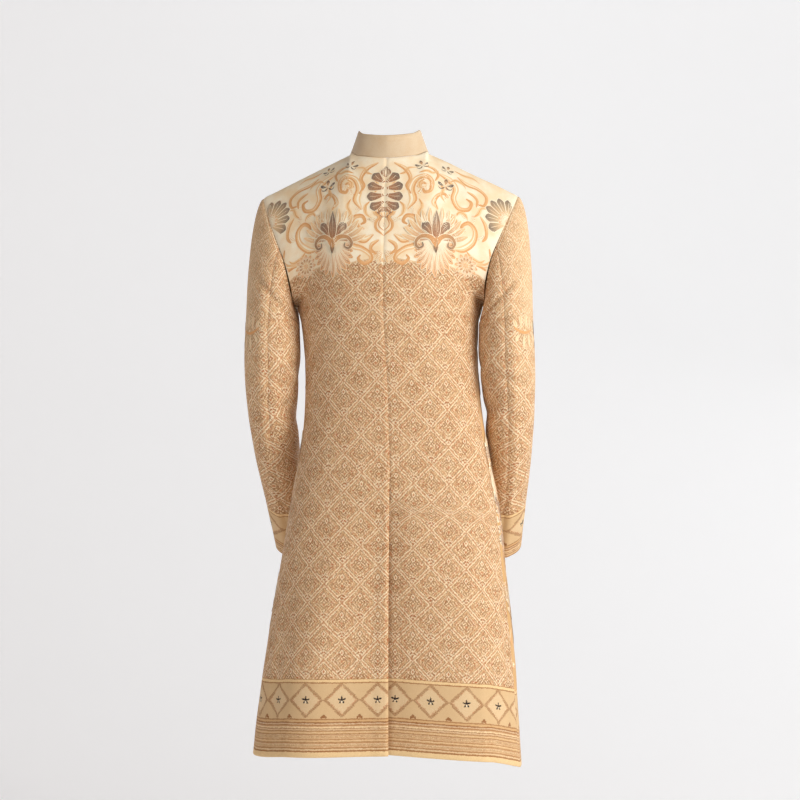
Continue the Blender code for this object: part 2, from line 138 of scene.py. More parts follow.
def smooth_table(rows, at):
    """The table's columns at each value of its first column, on one smooth line through the rows."""
    table = np.array(rows, float)
    if table[0, 0] > table[-1, 0]:
        table = table[::-1]
    key = table[:, 0]
    slope = np.gradient(table, key, axis=0)
    at = np.clip(at, key[0], key[-1])
    row = np.clip(np.searchsorted(key, at) - 1, 0, len(key) - 2)
    span = (key[row + 1] - key[row])[..., None]
    t = (at - key[row])[..., None] / span
    return hermite(table[row], slope[row] * span, table[row + 1], slope[row + 1] * span, t)


def hermite(start, leaving, end, arriving, t):
    return (
        start * (1 + 2 * t) * (1 - t) ** 2
        + leaving * t * (1 - t) ** 2
        + end * t**2 * (3 - 2 * t)
        + arriving * t**2 * (t - 1)
    )


def bezier(a, b, c, d, t):
    return a * (1 - t) ** 3 + 3 * b * t * (1 - t) ** 2 + 3 * c * t**2 * (1 - t) + d * t**3


def smooth_step(value):
    t = np.clip(value, 0, 1)
    return t * t * (3 - 2 * t)


def unit(vectors):
    return vectors / np.linalg.norm(vectors, axis=-1, keepdims=True)


def ring_point(height, share):
    """A point of the left half section: share runs from 0 at centre back to 1 at centre front."""
    wide, back, front, side_y = np.moveaxis(smooth_table(RINGS, height), -1, 0)[1:5]
    t_back, t_front = np.clip(share * 2, 0, 1), np.clip(share * 2 - 1, 0, 1)
    behind = share <= 0.5
    squared = SQUARE_BACK + SQUARE_SKIRT * smooth_step((-0.42 - height) / 0.50)
    k = np.where(behind, squared, SQUARE_FRONT)
    x = np.where(
        behind,
        bezier(0, k * wide, wide, wide, t_back),
        bezier(wide, wide, k * wide, 0, t_front),
    )
    y = np.where(
        behind,
        bezier(back, back, side_y + k * (back - side_y), side_y, t_back),
        bezier(side_y, side_y - k * (front + side_y), -front, -front, t_front),
    )
    return np.stack([x, y, height + 0 * x], -1)


def neck_point(turn):
    return smooth_table(NECK, turn)[..., 1:]


def scye_point(turn):
    return smooth_table(SCYE, turn)[..., 1:]


def share_of(panel, across, swing=0.0):
    """Where a panel's place across lies on the way round from centre back to centre front."""
    seam = SEAM_SHARE - swing
    return across * seam if panel == "back" else 1 - across * (1 - seam)


def top_edge(panel, across):
    """The neck seam, then the shoulder seam, from the centre line out to the shoulder point."""
    on_neck = np.clip(across / NECK_SHARE, 0, 1)
    turn = SIDE_NECK * on_neck if panel == "back" else 180 + (SIDE_NECK - 180) * on_neck
    out = np.clip((across - NECK_SHARE) / (1 - NECK_SHARE), 0, 1)[..., None]
    side_neck, shoulder = neck_point(np.array(SIDE_NECK)), scye_point(np.array(0))
    return np.where(out > 0, side_neck + (shoulder - side_neck) * out, neck_point(turn))


def rise_point(panel, across, rise):
    """The cloth from WAIST_UP (rise 0) to the neck and shoulder seam (rise 1), before the armhole
    is cut: it leaves upright and leans over as it nears the seam."""
    share = share_of(panel, across)
    low = ring_point(WAIST_UP + 0 * across, share)
    below = ring_point(WAIST_UP - 0.02 + 0 * across, share)
    # Away from the seam itself its corner at the side of the neck is smoothed out.
    taps = [across + (1 - rise) * tap for tap in (-0.30, -0.15, 0, 0.15, 0.30)]
    flips = [np.stack([np.sign(tap) + (tap == 0), 1 + 0 * tap, 1 + 0 * tap], -1) for tap in taps]
    high = sum(top_edge(panel, np.abs(tap)) * flip for tap, flip in zip(taps, flips)) / len(taps)
    lean = np.radians(smooth_table(LEAN[panel], across)[..., 1])
    over = np.stack([0 * lean, np.sin(lean) * (-1 if panel == "back" else 1), np.cos(lean)], -1)
    tall = (high - low)[..., 2:]
    return hermite(low, unit(low - below) * 1.25 * tall, high, over * 0.80 * tall, rise[..., None])


def side_edge(panel, rise):
    """The side seam up to the underarm, then the armhole up to the shoulder point."""
    seam = ring_point(WAIST_UP + 0 * rise, SEAM_SHARE + 0 * rise)
    seam = seam + (scye_point(np.array(180)) - seam) * np.clip(rise / UNDERARM, 0, 1)[..., None]
    climb = np.clip((rise - UNDERARM) / (1 - UNDERARM), 0, 1)
    hole = scye_point(180 * (1 - climb) if panel == "back" else 180 * (1 + climb))
    return np.where((rise < UNDERARM)[..., None], seam, hole)


def body_form(panel, side, across, up):
    """The body before its folds. across runs from 0 at the centre line to 1 at the side seam or
    armhole, and below 0 past the centre line; up runs from 0 at the hem to 1 at WAIST_UP and on to
    2 at the neck and shoulder seam."""
    beyond, across = across < 0, np.abs(across)
    share = share_of(panel, across, SEAM_SWING[side] * (1 - np.minimum(up, 1)))
    hem = -COAT_LENGTH - np.interp(share, HEM_SHARES, HEM_DROP[side])
    skirt = ring_point(hem + (WAIST_UP - hem) * np.minimum(up, 1), share)
    rise = np.maximum(up - 1, 0)
    chest = rise_point(panel, across, rise)
    pull = side_edge(panel, rise) - rise_point(panel, 1 + 0 * across, rise)
    point = np.where((up <= 1)[..., None], skirt, chest + pull * (across**2.4)[..., None])
    mirror = np.where(beyond, -1, 1) * (1 if side == "left" else -1)
    level = smooth_table(RINGS, point[..., 2])
    shift, twist = level[..., 5], np.radians(level[..., 6])
    sine, cosine = np.sin(twist), np.cos(twist)
    x, y, z = point[..., 0] * mirror, point[..., 1], point[..., 2]
    return np.stack([x * cosine - y * sine + shift, x * sine + y * cosine, z], -1)


# Folds and drag lines. Each runs from one (across, up) place on its panel to another; reach is its
# half width across, and a negative lift is a hollow.
Fold = namedtuple("Fold", "across_0 up_0 across_1 up_1 reach lift")
FOLDS = {
    "back_left": (
        Fold(0.31, -0.3, 0.28, 0.62, 0.140, 0.0095),
        Fold(0.68, -0.3, 0.64, 0.52, 0.130, -0.0095),
        Fold(0.00, -0.3, 0.00, 0.56, 0.090, -0.0015),
        Fold(0.024, -0.3, 0.024, 0.72, 0.020, 0.0026),
        Fold(0.54, -0.2, 0.50, 0.44, 0.040, -0.0018),
        Fold(0.86, -0.2, 0.80, 0.60, 0.045, -0.0022),
        Fold(0.99, 0.86, 0.52, 0.96, 0.060, -0.0016),
        Fold(0.99, 1.10, 0.62, 1.30, 0.050, -0.0018),
    ),
    "back_right": (
        Fold(0.42, -0.3, 0.36, 0.50, 0.160, 0.0050),
        Fold(0.78, -0.3, 0.74, 0.42, 0.100, -0.0025),
        Fold(0.00, -0.3, 0.00, 0.72, 0.150, -0.0075),
        Fold(-0.014, -0.3, -0.014, 0.75, 0.022, -0.0060),
        Fold(0.020, -0.3, 0.020, 0.74, 0.095, -0.0040),
        Fold(0.52, -0.2, 0.48, 0.55, 0.045, 0.0018),
        Fold(0.90, -0.2, 0.84, 0.66, 0.040, -0.0020),
        Fold(0.99, 0.84, 0.55, 0.93, 0.055, -0.0015),
        Fold(0.99, 1.08, 0.66, 1.34, 0.050, -0.0020),
    ),
    "front_left": (
        Fold(0.50, -0.3, 0.48, 0.50, 0.090, -0.0060),
        Fold(0.76, -0.2, 0.70, 0.60, 0.050, 0.0025),
        Fold(0.30, -0.2, 0.28, 0.44, 0.045, 0.0020),
        Fold(0.98, 0.90, 0.45, 1.02, 0.055, -0.0018),
        Fold(0.96, 1.20, 0.60, 1.42, 0.050, -0.0018),
    ),
    "front_right": (
        Fold(0.46, -0.3, 0.46, 0.45, 0.090, -0.0050),
        Fold(0.74, -0.2, 0.70, 0.55, 0.050, 0.0022),
        Fold(0.28, -0.2, 0.26, 0.40, 0.045, 0.0018),
        Fold(0.98, 0.92, 0.50, 1.04, 0.055, -0.0016),
        Fold(0.96, 1.18, 0.58, 1.40, 0.050, -0.0018),
    ),
}
SEAM_DIP, SEAM_REACH = 0.0011, 0.0030  # the cloth turns in at a seam, over this distance


def lift_of(folds, across, up):
    lift = 0.0 * across
    for fold in folds:
        ahead = (up - fold.up_0) / (fold.up_1 - fold.up_0)
        middle = fold.across_0 + (fold.across_1 - fold.across_0) * ahead
        fade = smooth_step((1 - ahead) / 0.4) * smooth_step(ahead / 0.15)
        lift = lift + fold.lift * np.exp(-(((across - middle) / fold.reach) ** 2)) * fade
    return lift


def uneven(points, depth):
    """The slight unevenness of hand-finished cloth, as a height at each point."""
    x, y, z = np.moveaxis(points, -1, 0)
    wave = np.sin(x * 47 + z * 13 + 2.0 * np.sin(z * 17)) + np.sin(y * 61 - z * 29 + 1.3)
    return depth * (wave + 0.7 * np.sin(z * 71 + x * 39 + 1.5 * np.sin(y * 53)))


def normals_of(form, across, up, step):
    """Unit normals of a form by differences."""
    ahead, behind = form(across + step, up), form(across - step, up)
    higher, lower = form(across, up + 1e-3), form(across, up - 1e-3)
    return unit(np.cross(ahead - behind, higher - lower))


def crowded(count, crowding=0.6):
    """Places from 0 to 1 that crowd towards both ends, where the seams are."""
    even = np.linspace(0, 1, count)
    return even - crowding * np.sin(2 * np.pi * even) / (2 * np.pi)


# A piece of cloth as arrays over its grid: its outside, the normals there, u and v measured along the
# cloth, and how much of the scroll-work ground shows, which on the sleeves is a painted highlight.
Piece = namedtuple("Piece", "points normals u v ground")
COLUMNS, SKIRT_ROWS, CHEST_ROWS = 84, 150, 76


def measured(points, normals, toward, first_row, centre):
    """Distances along the cloth: u across from the centre column, and v up from the first row.
    Below first_row every column climbs as the centre one does, so that a border stays parallel to
    the hem. toward is where a level part of the cloth climbs to."""
    steep = normals[..., 2]
    climb = np.stack([toward[0] * steep, toward[1] * steep, 1 + 0 * steep], -1)
    climb = unit(climb - normals * np.sum(climb * normals, axis=-1, keepdims=True))
    level = np.cross(climb, normals)
    over = np.diff(points, axis=0)
    u = np.abs(np.sum(over * (level[1:] + level[:-1]) / 2, axis=-1))
    u = np.concatenate([0 * u[:1], np.cumsum(u, axis=0)])
    rise = np.diff(points, axis=1)
    v = np.sum(rise * (climb[:, 1:] + climb[:, :-1]) / 2, axis=-1)
    v[:, :first_row] = np.linalg.norm(rise[centre], axis=-1)[:first_row]
    v = np.concatenate([0 * v[:, :1], np.cumsum(v, axis=1)], axis=1)
    return u - u[centre], v


def body_piece(panel, side):
    across = crowded(COLUMNS)
    up = np.concatenate([crowded(SKIRT_ROWS, 0.3)[:-1], 1 + crowded(CHEST_ROWS, 0.3)])
    across, up = np.meshgrid(across, up, indexing="ij")
    width = body_form(panel, side, 0 * up + 0.02, up) - body_form(panel, side, 0 * up, up)
    per_metre = 0.02 / np.linalg.norm(width, axis=-1)
    sunk = 0.0 * up
    crowd = np.clip(1 - across / 0.3, 0, 1)
    if panel == "front":
        across = across - FRONT_LAP * per_metre * crowd
        if side == "right":
            sunk = LAP_DEPTH * smooth_step(2.05 - across * 11)
    elif side == "right":
        across = across - VENT_LAP * per_metre * crowd * smooth_step((VENT_TOP - up) / 0.05)
        sunk = LAP_DEPTH * smooth_step((1.0 - across * 11) / 0.8) * smooth_step((VENT_TOP - up) / 0.02 + 1)

    def form(across, up):
        return body_form(panel, side, across, up)

    outward = 1 if (panel == "front") == (side == "left") else -1
    clear = np.where(np.abs(across) < 2e-3, 2e-3, across)
    normals = normals_of(form, clear, np.clip(up, 2e-3, 2 - 2e-3), 1e-3) * outward
    smooth = form(across, up)
    centre = int(np.argmin(np.abs(across[:, -1])))
    u, v = measured(smooth, normals, (0, -1.5 if panel == "back" else 1.5), SKIRT_ROWS - 1, centre)
    u = u - np.array([np.interp(0, across[:, row], u[:, row]) for row in range(u.shape[1])])
    lift = lift_of(FOLDS[f"{panel}_{side}"], across, up) - sunk + uneven(smooth, 0.00022)
    from_side = u[-1] - u
    dip = np.exp(-((from_side / SEAM_REACH) ** 2))
    if panel == "back":
        dip = dip + np.exp(-((u / SEAM_REACH) ** 2)) * (up > VENT_TOP)
    dip = dip + np.exp(-(((v[:, -1:] - v) / SEAM_REACH) ** 2))
    # Just outside the dip the seam allowance beneath pads the cloth up a little.
    pad = np.exp(-(((from_side - 0.009) / 0.006) ** 2))
    if (panel, side) == ("back", "left"):  # the turned-in edge stands up a little down the vent
        pad = pad + 3.0 * np.exp(-(((u - 0.0045) / 0.0032) ** 2)) * smooth_step((VENT_TOP - up) / 0.05)
    # Beside the lower armhole the cloth sinks into the crease under the arm.
    armpit = smooth_step((up - 1.10) / 0.1) * smooth_step((1.80 - up) / 0.3)
    lift = lift - SEAM_DIP * dip + 0.0004 * pad - 0.0026 * armpit * np.exp(-((from_side / 0.013) ** 2))
    ground = np.ones_like(u)
    if panel == "back":
        yoke_edge = -0.200 + 0.002 * np.sin(u * 75) - 0.016 * smooth_step(u / 0.17)
        ground = smooth_step((v - v[centre, -1] - yoke_edge) / 0.012)
    else:
        ground = 1 + smooth_step((1.05 - up) / 0.35) * smooth_step(across / 0.5)
    return Piece(smooth + normals * lift[..., None], normals, u, v, ground)


def shell_mesh(name, piece, thick, weave_shift, material):
    """Cloth of a thickness: the outside, an inside, and a rounded rim that joins them. Its weave
    map holds the distances along the cloth in metres."""
    columns, rows = piece.points.shape[:2]
    number = np.arange(columns * rows).reshape(columns, rows)
    around = np.concatenate([number[:-1, 0], number[-1, :-1], number[:0:-1, -1], number[0, :0:-1]])
    outside = piece.points.reshape(-1, 3)
    inside = outside - piece.normals.reshape(-1, 3) * thick
    column, row = around // rows, around % rows
    inner = number[np.clip(column, 1, columns - 2), np.clip(row, 1, rows - 2)]
    edge_way = unit(outside[around] - outside[inner])
    rim = (outside[around] + inside[around]) / 2 + edge_way * thick * 0.3
    corners = [number[:-1, :-1], number[1:, :-1], number[1:, 1:], number[:-1, 1:]]
    quads = np.stack(corners, -1).reshape(-1, 4)
    a, b, c = (outside[quads[len(quads) // 2 + 7, k]] for k in (0, 1, 3))
    facing = np.dot(np.cross(b - a, c - a), piece.normals.reshape(-1, 3)[quads[len(quads) // 2 + 7, 0]])
    total = columns * rows
    ring = np.arange(len(around)) + 2 * total
    after = np.roll(np.arange(len(around)), -1)
    lower = np.stack([around[after], around, ring, ring[after]], -1)
    upper = np.stack([ring[after], ring, around + total, around[after] + total], -1)
    faces = np.concatenate([quads, quads[:, ::-1] + total, lower, upper])
    if facing < 0:
        faces = faces[:, ::-1]
    mesh = bpy.data.meshes.new(name)
    mesh.from_pydata(np.concatenate([outside, inside, rim]).tolist(), [], faces.tolist())
    weave = np.stack([piece.u, piece.v], -1).reshape(-1, 2) + weave_shift
    weave = np.concatenate([weave, weave, weave[around]])
    corner = np.empty(len(mesh.loops), np.int32)
    mesh.loops.foreach_get("vertex_index", corner)
    mesh.uv_layers.new(name="weave").data.foreach_set("uv", weave[corner].ravel())
    ground = piece.ground.ravel()
    # The ground value carries the scroll-work ground, and on the sleeves a painted highlight; reverse marks the
    # inside face.
    worn = {
        "ground": np.concatenate([ground, ground, ground[around]]),
        "reverse": np.concatenate([0 * ground, 1 + 0 * ground, 0 * ground[around]]),
    }
    for label, values in worn.items():
        mesh.attributes.new(label, "FLOAT", "POINT").data.foreach_set("value", values.astype(np.float32))
    mesh.shade_smooth()
    mesh.materials.append(material)
    made = bpy.data.objects.new(name, mesh)
    bpy.context.scene.collection.objects.link(made)
    return made


def dye(red, green, blue):
    """A thread's colour, given in display values from 0 to 255."""
    shares = [value / 255 for value in (red, green, blue)]
    linear = [s / 12.92 if s <= 0.04045 else ((s + 0.055) / 1.055) ** 2.4 for s in shares]
    return (*linear, 1.0)


class Reading:
    """A number that changes over the cloth. Sums on it add Math nodes to the finish it is part of."""

    def __init__(self, finish, socket):
        self.finish, self.socket = finish, socket

    def maths(self, operation, *others, clamp=False):
        settings = {"operation": operation, "use_clamp": clamp}
        return self.finish.node("ShaderNodeMath", settings, self, *others)

    def __add__(self, other):
        return self.maths("ADD", other)

    def __mul__(self, other):
        return self.maths("MULTIPLY", other)

    def __sub__(self, other):
        return self.maths("SUBTRACT", other)

    def __rsub__(self, other):
        return self.maths("MULTIPLY_ADD", -1, other)

    def __truediv__(self, other):
        return self.maths("DIVIDE", other)

    def __lt__(self, other):
        return self.maths("LESS_THAN", other)

    def __gt__(self, other):
        return self.maths("GREATER_THAN", other)

    def __abs__(self):
        return self.maths("ABSOLUTE")

    __radd__, __rmul__ = __add__, __mul__

    def between(self, low, high):
        """1 where the reading lies from low to high, and 0 elsewhere."""
        return self.maths("COMPARE", (low + high) / 2, (high - low) / 2)

    def threads(self, pitch):
        """The reading at the middle of the thread it falls in."""
        return (self / pitch).maths("FLOOR") * pitch + pitch / 2

    def repeated(self, length):
        """The distance from the middle of the repeat it falls in."""
        return self - (self / length).maths("ROUND") * length

    def over(self, low, high):
        """0 at low and 1 at high, straight in between and held beyond."""
        return ((self - low) / (high - low)).maths("ADD", 0, clamp=True)

    def either(self, other):
        return self.maths("MAXIMUM", other)

    def squared(self):
        return self * self

    def wave(self):
        return self.maths("SINE")

    def part(self):
        return self.maths("FRACT")


class Finish:
    """A material in the making."""

    def __init__(self, name, **constants):
        self.material = bpy.data.materials.new(name)
        self.material.use_nodes = True
        self.tree = self.material.node_tree
        self.shader = self.tree.nodes["Principled BSDF"]
        for socket, value in constants.items():
            titled = socket.replace("_", " ").title().replace("Ior", "IOR")
            self.shader.inputs[titled].default_value = value

    def node(self, kind, settings, *inputs, out=0, **named):
        """Adds a node: its settings first, then its sockets in order or by name."""
        node = self.tree.nodes.new(kind)
        for setting, value in settings.items():
            if setting == "stops":
                self.fill_ramp(node.color_ramp, value)
            else:
                setattr(node, setting, value)
        shown = [socket for socket in node.inputs if socket.enabled]
        pairs = list(zip(shown, inputs))
        pairs += [(node.inputs[name.replace("_", " ")], value) for name, value in named.items()]
        for socket, value in pairs:
            self.join(value, socket)
        given = [Reading(self, socket) for socket in node.outputs if socket.enabled]
        return given[out] if isinstance(out, int) else [given[number] for number in out]

    def join(self, value, socket):
        if isinstance(value, Reading):
            self.tree.links.new(value.socket, socket)
        else:
            socket.default_value = value

    def fill_ramp(self, ramp, stops):
        ramp.interpolation = "CONSTANT"
        for number, (place, colour) in enumerate(stops):
            stop = ramp.elements[number] if number < 2 else ramp.elements.new(place)
            stop.position, stop.color = place, colour

    def mix(self, share, first, second):
        """A colour: the first where share is 0 and the second where it is 1."""
        return self.node("ShaderNodeMix", {"data_type": "RGBA"}, share, first, second)

    def attribute(self, name):
        return self.node("ShaderNodeAttribute", {"attribute_name": name}, out=2)

    def noise(self, vector, scale):
        return self.node("ShaderNodeTexNoise", {}, Vector=vector, Scale=scale, Detail=2.0)

    def flecks(self, across, up):
        """A random number from 0 to 1 for each thread, or run of threads."""
        cell = self.node("ShaderNodeCombineXYZ", {}, across, up)
        return self.node("ShaderNodeTexWhiteNoise", {"noise_dimensions": "2D"}, cell)

    def weave(self):
        """The weave map, whole and as millimetres across and up."""
        uv = self.node("ShaderNodeUVMap", {"uv_map": "weave"})
        across, up = self.node("ShaderNodeSeparateXYZ", {}, uv, out=(0, 1))
        return uv, across * 1000, up * 1000

    def shade(self, colour, roughness, height, depth):
        """Gives the shader what changes over the surface. height is in metres times depth."""
        self.join(colour, self.shader.inputs["Base Color"])
        self.join(roughness, self.shader.inputs["Roughness"])
        bump = self.node("ShaderNodeBump", {}, Height=height, Distance=depth, Strength=1.0)
        self.join(bump, self.shader.inputs["Normal"])
        return self.material


# The weave. Distances are in millimetres: u across and v up from the hem.
WARP, WEFT = 1.20, 1.10  # thread pitch, as far as it shows
LATTICE_WIDE, LATTICE_TALL, LATTICE_FOOT = 62.0, 65.0, 167.5
STAR_HEIGHT, BORDER_TOP = 98.0, 134.5
CREAM, PALE_GOLD, TAN = dye(248, 230, 196), dye(223, 190, 144), dye(204, 161, 118)
BROWN, RUST, DARK = dye(142, 86, 46), dye(184, 98, 54), dye(44, 32, 34)
YOKE_CREAM, YOKE_PEACH = dye(250, 238, 212), dye(246, 220, 180)
EDGE_GOLD, STRIPE_GOLD, STRIPE_TAN = dye(238, 206, 154), dye(212, 172, 122), dye(196, 150, 103)
STRIPE_CREAM, STRIPE_BROWN, STRIPE_PALE = dye(244, 216, 169), dye(168, 119, 75), dye(217, 185, 140)
EDGE_TOP, STRIPES_TOP, ROW_TOP = 8.5, 65.5, 126.5
RAMP_TOP = 140  # the height at which the ramp of bands ends
RIB_PITCH = 4.9


def border_bands():
    """The foot and colour of each band, from the hem up to where the lattice begins."""
    bands = [(0, EDGE_GOLD), (EDGE_TOP, STRIPE_BROWN)]
    for foot in (10.5, 25.1, 39.7):
        bands += [(foot, STRIPE_GOLD), (foot + 4.6, STRIPE_TAN)]
        bands += [(foot + 9.3, STRIPE_CREAM), (foot + 11.5, STRIPE_TAN)]
    bands += [(56.5, STRIPE_BROWN), (60, STRIPE_GOLD), (63, STRIPE_BROWN), (STRIPES_TOP, STRIPE_PALE)]
    return bands + [(ROW_TOP, STRIPE_BROWN), (ROW_TOP + 2, EDGE_GOLD), (BORDER_TOP - 2, STRIPE_BROWN)]


def brocade_finish():
    finish = Finish("brocade_weave", specular_ior_level=0.08, sheen_weight=0.02, sheen_roughness=0.4)
    uv, u, v = finish.weave()
    # Hand-woven threads wander a little, so the figures aren't quite true.
    us = u + (finish.noise(uv, 85.0) - 0.5) * 2.4 + (finish.noise(uv, 420.0) - 0.5) * 2.4
    vs = v + (finish.noise(uv, 97.0) - 0.5) * 2.0 + (finish.noise(uv, 390.0) - 0.5) * 2.4
    us, vs = us.threads(WARP), vs.threads(WEFT)
    fleck = finish.flecks(us, vs)
    patchy = finish.noise(uv, 28.0)

    # The lattice: staggered diamonds. x and y run from each diamond's middle, rim is 1 on its edge.
    x, y = abs(us.repeated(LATTICE_WIDE)), (vs - LATTICE_FOOT).repeated(LATTICE_TALL)
    reach = x / (LATTICE_WIDE / 2) + abs(y) / (LATTICE_TALL / 2)
    other = reach > 1
    x = x + other * (LATTICE_WIDE / 2 - 2 * x)
    y = y - other * y.maths("SIGN") * (LATTICE_TALL / 2)
    tooth = ((x - abs(y)) / 3.6).part().between(0, 0.5) * 0.034 - 0.017
    rim = reach + other * (2 - 2 * reach) + tooth

    # In each diamond nested chevrons break into small curls round a lozenge, with bars at its foot.
    streak = finish.flecks(us, vs.threads(3 * WEFT))
    lozenge = x / 5.0 + abs(y - 12) / 7.5
    out = x + abs(y + 3) * 0.9
    curl = (x * 1.40 + (y * 0.55).wave() * 1.3).wave()
    curl = curl * (y * 0.92 + (x * 0.80).wave() * 1.4).wave()
    nested = (rim * 35).wave() * (((x - abs(y)) * 1.9).wave() * 0.45 + 0.55)
    curl = curl * 0.40 + nested * 0.80
    filigree = (rim < 0.74) * (lozenge > 1.2) * (out > 3.4)
    heart = rim < 0.52
    bars = abs(y + 19 + x * 0.7)
    hatch = ((x + abs(y)) / 3.4).part().between(0, 0.62)
    edging = rim.between(0.850, 0.950) * (0.18 + 0.70 * hatch) * (streak > 0.08)
    cream = edging.either(lozenge.between(0.42, 0.78))
    cream = cream.either(filigree * (curl > 0.33) * (streak > 0.18))
    cream = cream.either(bars.between(2.2, 3.6) * (x < 8))
    brown = (rim.between(0.79, 0.845) * (streak > 0.2)).either(lozenge.between(0.82, 1.12))
    brown = brown.either(filigree * heart * (curl < -0.10)).either((bars < 1.1) * (x < 8))
    rust = ((rim > 0.957) * (0.35 + 0.5 * hatch)).either(lozenge < 0.36).either(out < 2.4)
    rust = rust.either((x + abs(y + 25)) < 1.8).either((abs(x - 13.5) + abs(y - 1)).between(0, 1.9))
    rust = rust.either((rim < 0.8) * (streak > 0.95))
    rust = rust.either(filigree * (1 - heart) * (curl < -0.22) * (streak > 0.15))
    ground = finish.mix(fleck, TAN, PALE_GOLD)
    ground = finish.mix((streak < 0.16) * 0.45, ground, BROWN)
    ground = finish.mix((streak > 0.88) * 0.55, ground, CREAM)
    lattice = finish.mix(brown * (0.46 + fleck * 0.42), ground, BROWN)
    lattice = finish.mix(rust * (0.44 + fleck * 0.44), lattice, RUST)
    lattice = finish.mix(cream * (0.56 + fleck * 0.40), lattice, CREAM)
    lattice = finish.mix(edging * 0.30, lattice, CREAM)
    # The ground value pales the lattice towards cream: at the yoke's edge this is the woven change to the scroll
    # ground, and on the upper outer sleeves it is a painted highlight.
    lattice = finish.mix(finish.attribute("ground") * 1.5, lattice, dye(238, 208, 166))

    # The border above the hem: stripes, and a row of diamonds that each hold a small star.
    stops = [(foot / RAMP_TOP, colour) for foot, colour in border_bands()]
    border = finish.node("ShaderNodeValToRGB", {"stops": stops}, vs / RAMP_TOP)
    bx, by = us.repeated(LATTICE_WIDE), vs - STAR_HEIGHT
    steps = us.threads(2 * WARP).repeated(LATTICE_WIDE), vs.threads(2 * WEFT) - STAR_HEIGHT
    frame = abs(steps[0]) / 30 + abs(steps[1]) / 30
    ribs = ((vs - 9.6) / RIB_PITCH).part().between(0, 0.42) * vs.between(9, 63)
    in_row = vs.between(STRIPES_TOP, ROW_TOP)
    border = finish.mix(fleck * 0.35, border, TAN)
    border = finish.mix(ribs * (0.20 + fleck * 0.42), border, BROWN)
    bright_ribs = ((vs - 12.4) / RIB_PITCH).part().between(0, 0.28) * vs.between(12, 60)
    border = finish.mix(bright_ribs * (0.18 + fleck * 0.30), border, CREAM)
    checks = (us / (2 * WARP)).part().between(0, 0.5)
    checks = checks * (vs / (2 * WEFT)).part().between(0, 0.5)
    border = finish.mix((frame < 0.83) * in_row * (checks * 0.25 + fleck * 0.20), border, CREAM)
    border = finish.mix(frame.between(0.84, 1.04) * in_row * (0.36 + fleck * 0.38), border, BROWN)
    border = finish.mix(frame.between(0.78, 0.84) * in_row * (fleck > 0.55) * 0.6, border, RUST)
    bud_x = (us + LATTICE_WIDE / 2).repeated(LATTICE_WIDE)
    bud = (bud_x / 2.6).squared() + ((vs - 70) / 3.4).squared()
    bud = bud.maths("MINIMUM", ((abs(bud_x) - 3.6) / 1.5).squared() + ((vs - 68) / 2.2).squared())
    border = finish.mix((bud < 1) * 0.85, border, BROWN)
    turn = finish.node("ShaderNodeMath", {"operation": "ARCTAN2"}, by, bx)
    petals = ((turn - np.pi / 2) * 2.5).maths("COSINE").squared() * 5.4 + 1.9
    reach = (bx * bx + by * by).maths("SQRT")
    star = (petals > reach) * in_row
    border = finish.mix(star, border, DARK)
    border = finish.mix((abs(bx) + abs(by + 2.6) < 1.7) * in_row, border, CREAM)

    # The yoke and the fronts have a plain creamy ground for the scroll-work.
    scroll_ground = finish.mix(patchy.over(0.38, 0.64), YOKE_CREAM, YOKE_PEACH)
    scroll_ground = finish.mix(fleck * 0.18, scroll_ground, dye(228, 192, 144))
    scroll_ground = finish.mix(finish.attribute("ground") - 1, scroll_ground, dye(212, 168, 112))
    bare = (finish.attribute("ground") + (patchy - 0.5) * 0.8) > 0.5
    colour = finish.mix(bare, lattice, scroll_ground)
    colour = finish.mix(vs < BORDER_TOP, colour, border)
    colour = finish.mix(patchy.over(0.45, 0.75) * 0.14, colour, dye(238, 208, 164))
    floats = fleck * 0.6 + (vs / 5.5).part() * 0.4
    back_face = finish.mix(floats, dye(196, 158, 112), dye(228, 202, 160))
    colour = finish.mix(finish.attribute("reverse"), colour, back_face)

    raised = cream * (1 - bare) * (vs > BORDER_TOP)
    roll = (u * (2 * np.pi / WARP)).wave() * 0.25 + (v * (2 * np.pi / WEFT)).wave() * 0.25
    height = raised * 0.9 + roll + fleck * 0.25
    roughness = 0.62 - raised * 0.14 - bare * 0.08
    return finish.shade(colour, roughness, height, 0.00012)


BROCADE = brocade_finish()

# Each body piece: its weave's shift across, in metres, and the cut: the rectangle it was cut from
# and the area of the cut.
BODY = {
    ("back", "left"): (-0.018, (0.305, 1.105), 0.251),
    ("back", "right"): (-0.012, (0.300, 1.125), 0.255),
    ("front", "left"): (-0.010, (0.355, 1.115), 0.299),
    ("front", "right"): (-0.010, (0.400, 1.115), 0.317),
}
pieces, sewn = {}, {}
for (panel, side), (shift, cut, area) in BODY.items():
    name = f"{panel}_{side}"
    pieces[name] = body_piece(panel, side)
    sewn[name] = shell_mesh(f"{name}_cloth", pieces[name], CLOTH, (shift, 0.0), BROCADE)
    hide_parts(name)
    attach(sewn[name], "root")

# ==== Sleeves ===================================================================================
# Each sleeve is a wide top sleeve over the shoulder point and a narrow under sleeve that faces the
# body, in the same brocade, with the border woven above the cuff.

# A section of the sleeve that is square to the arm. tilt leans it forwards, in degrees.
Arm = namedtuple("Arm", "height x y half_width half_depth tilt")
ARM = (
    Arm(-0.300, 0.2100, 0.022, 0.0490, 0.062, 0),
    Arm(-0.360, 0.2110, 0.018, 0.0503, 0.058, 2),
    Arm(-0.430, 0.2145, -0.001, 0.0460, 0.053, 12),
    Arm(-0.520, 0.2125, -0.048, 0.0415, 0.049, 27),
    Arm(-0.610, 0.2035, -0.105, 0.0390, 0.046, 32),
    Arm(-0.698, 0.1935, -0.156, 0.0375, 0.043, 32),
)
HIND_SEAM, FORE_SEAM = 90, 252  # the sleeve's two seams, in degrees round from the shoulder point
CUFF_IN_BORDER = 0.038  # the cuff is cut this far up the woven border
CAP_ROWS, ARM_ROWS, TURN_STEP = 44, 120, 3

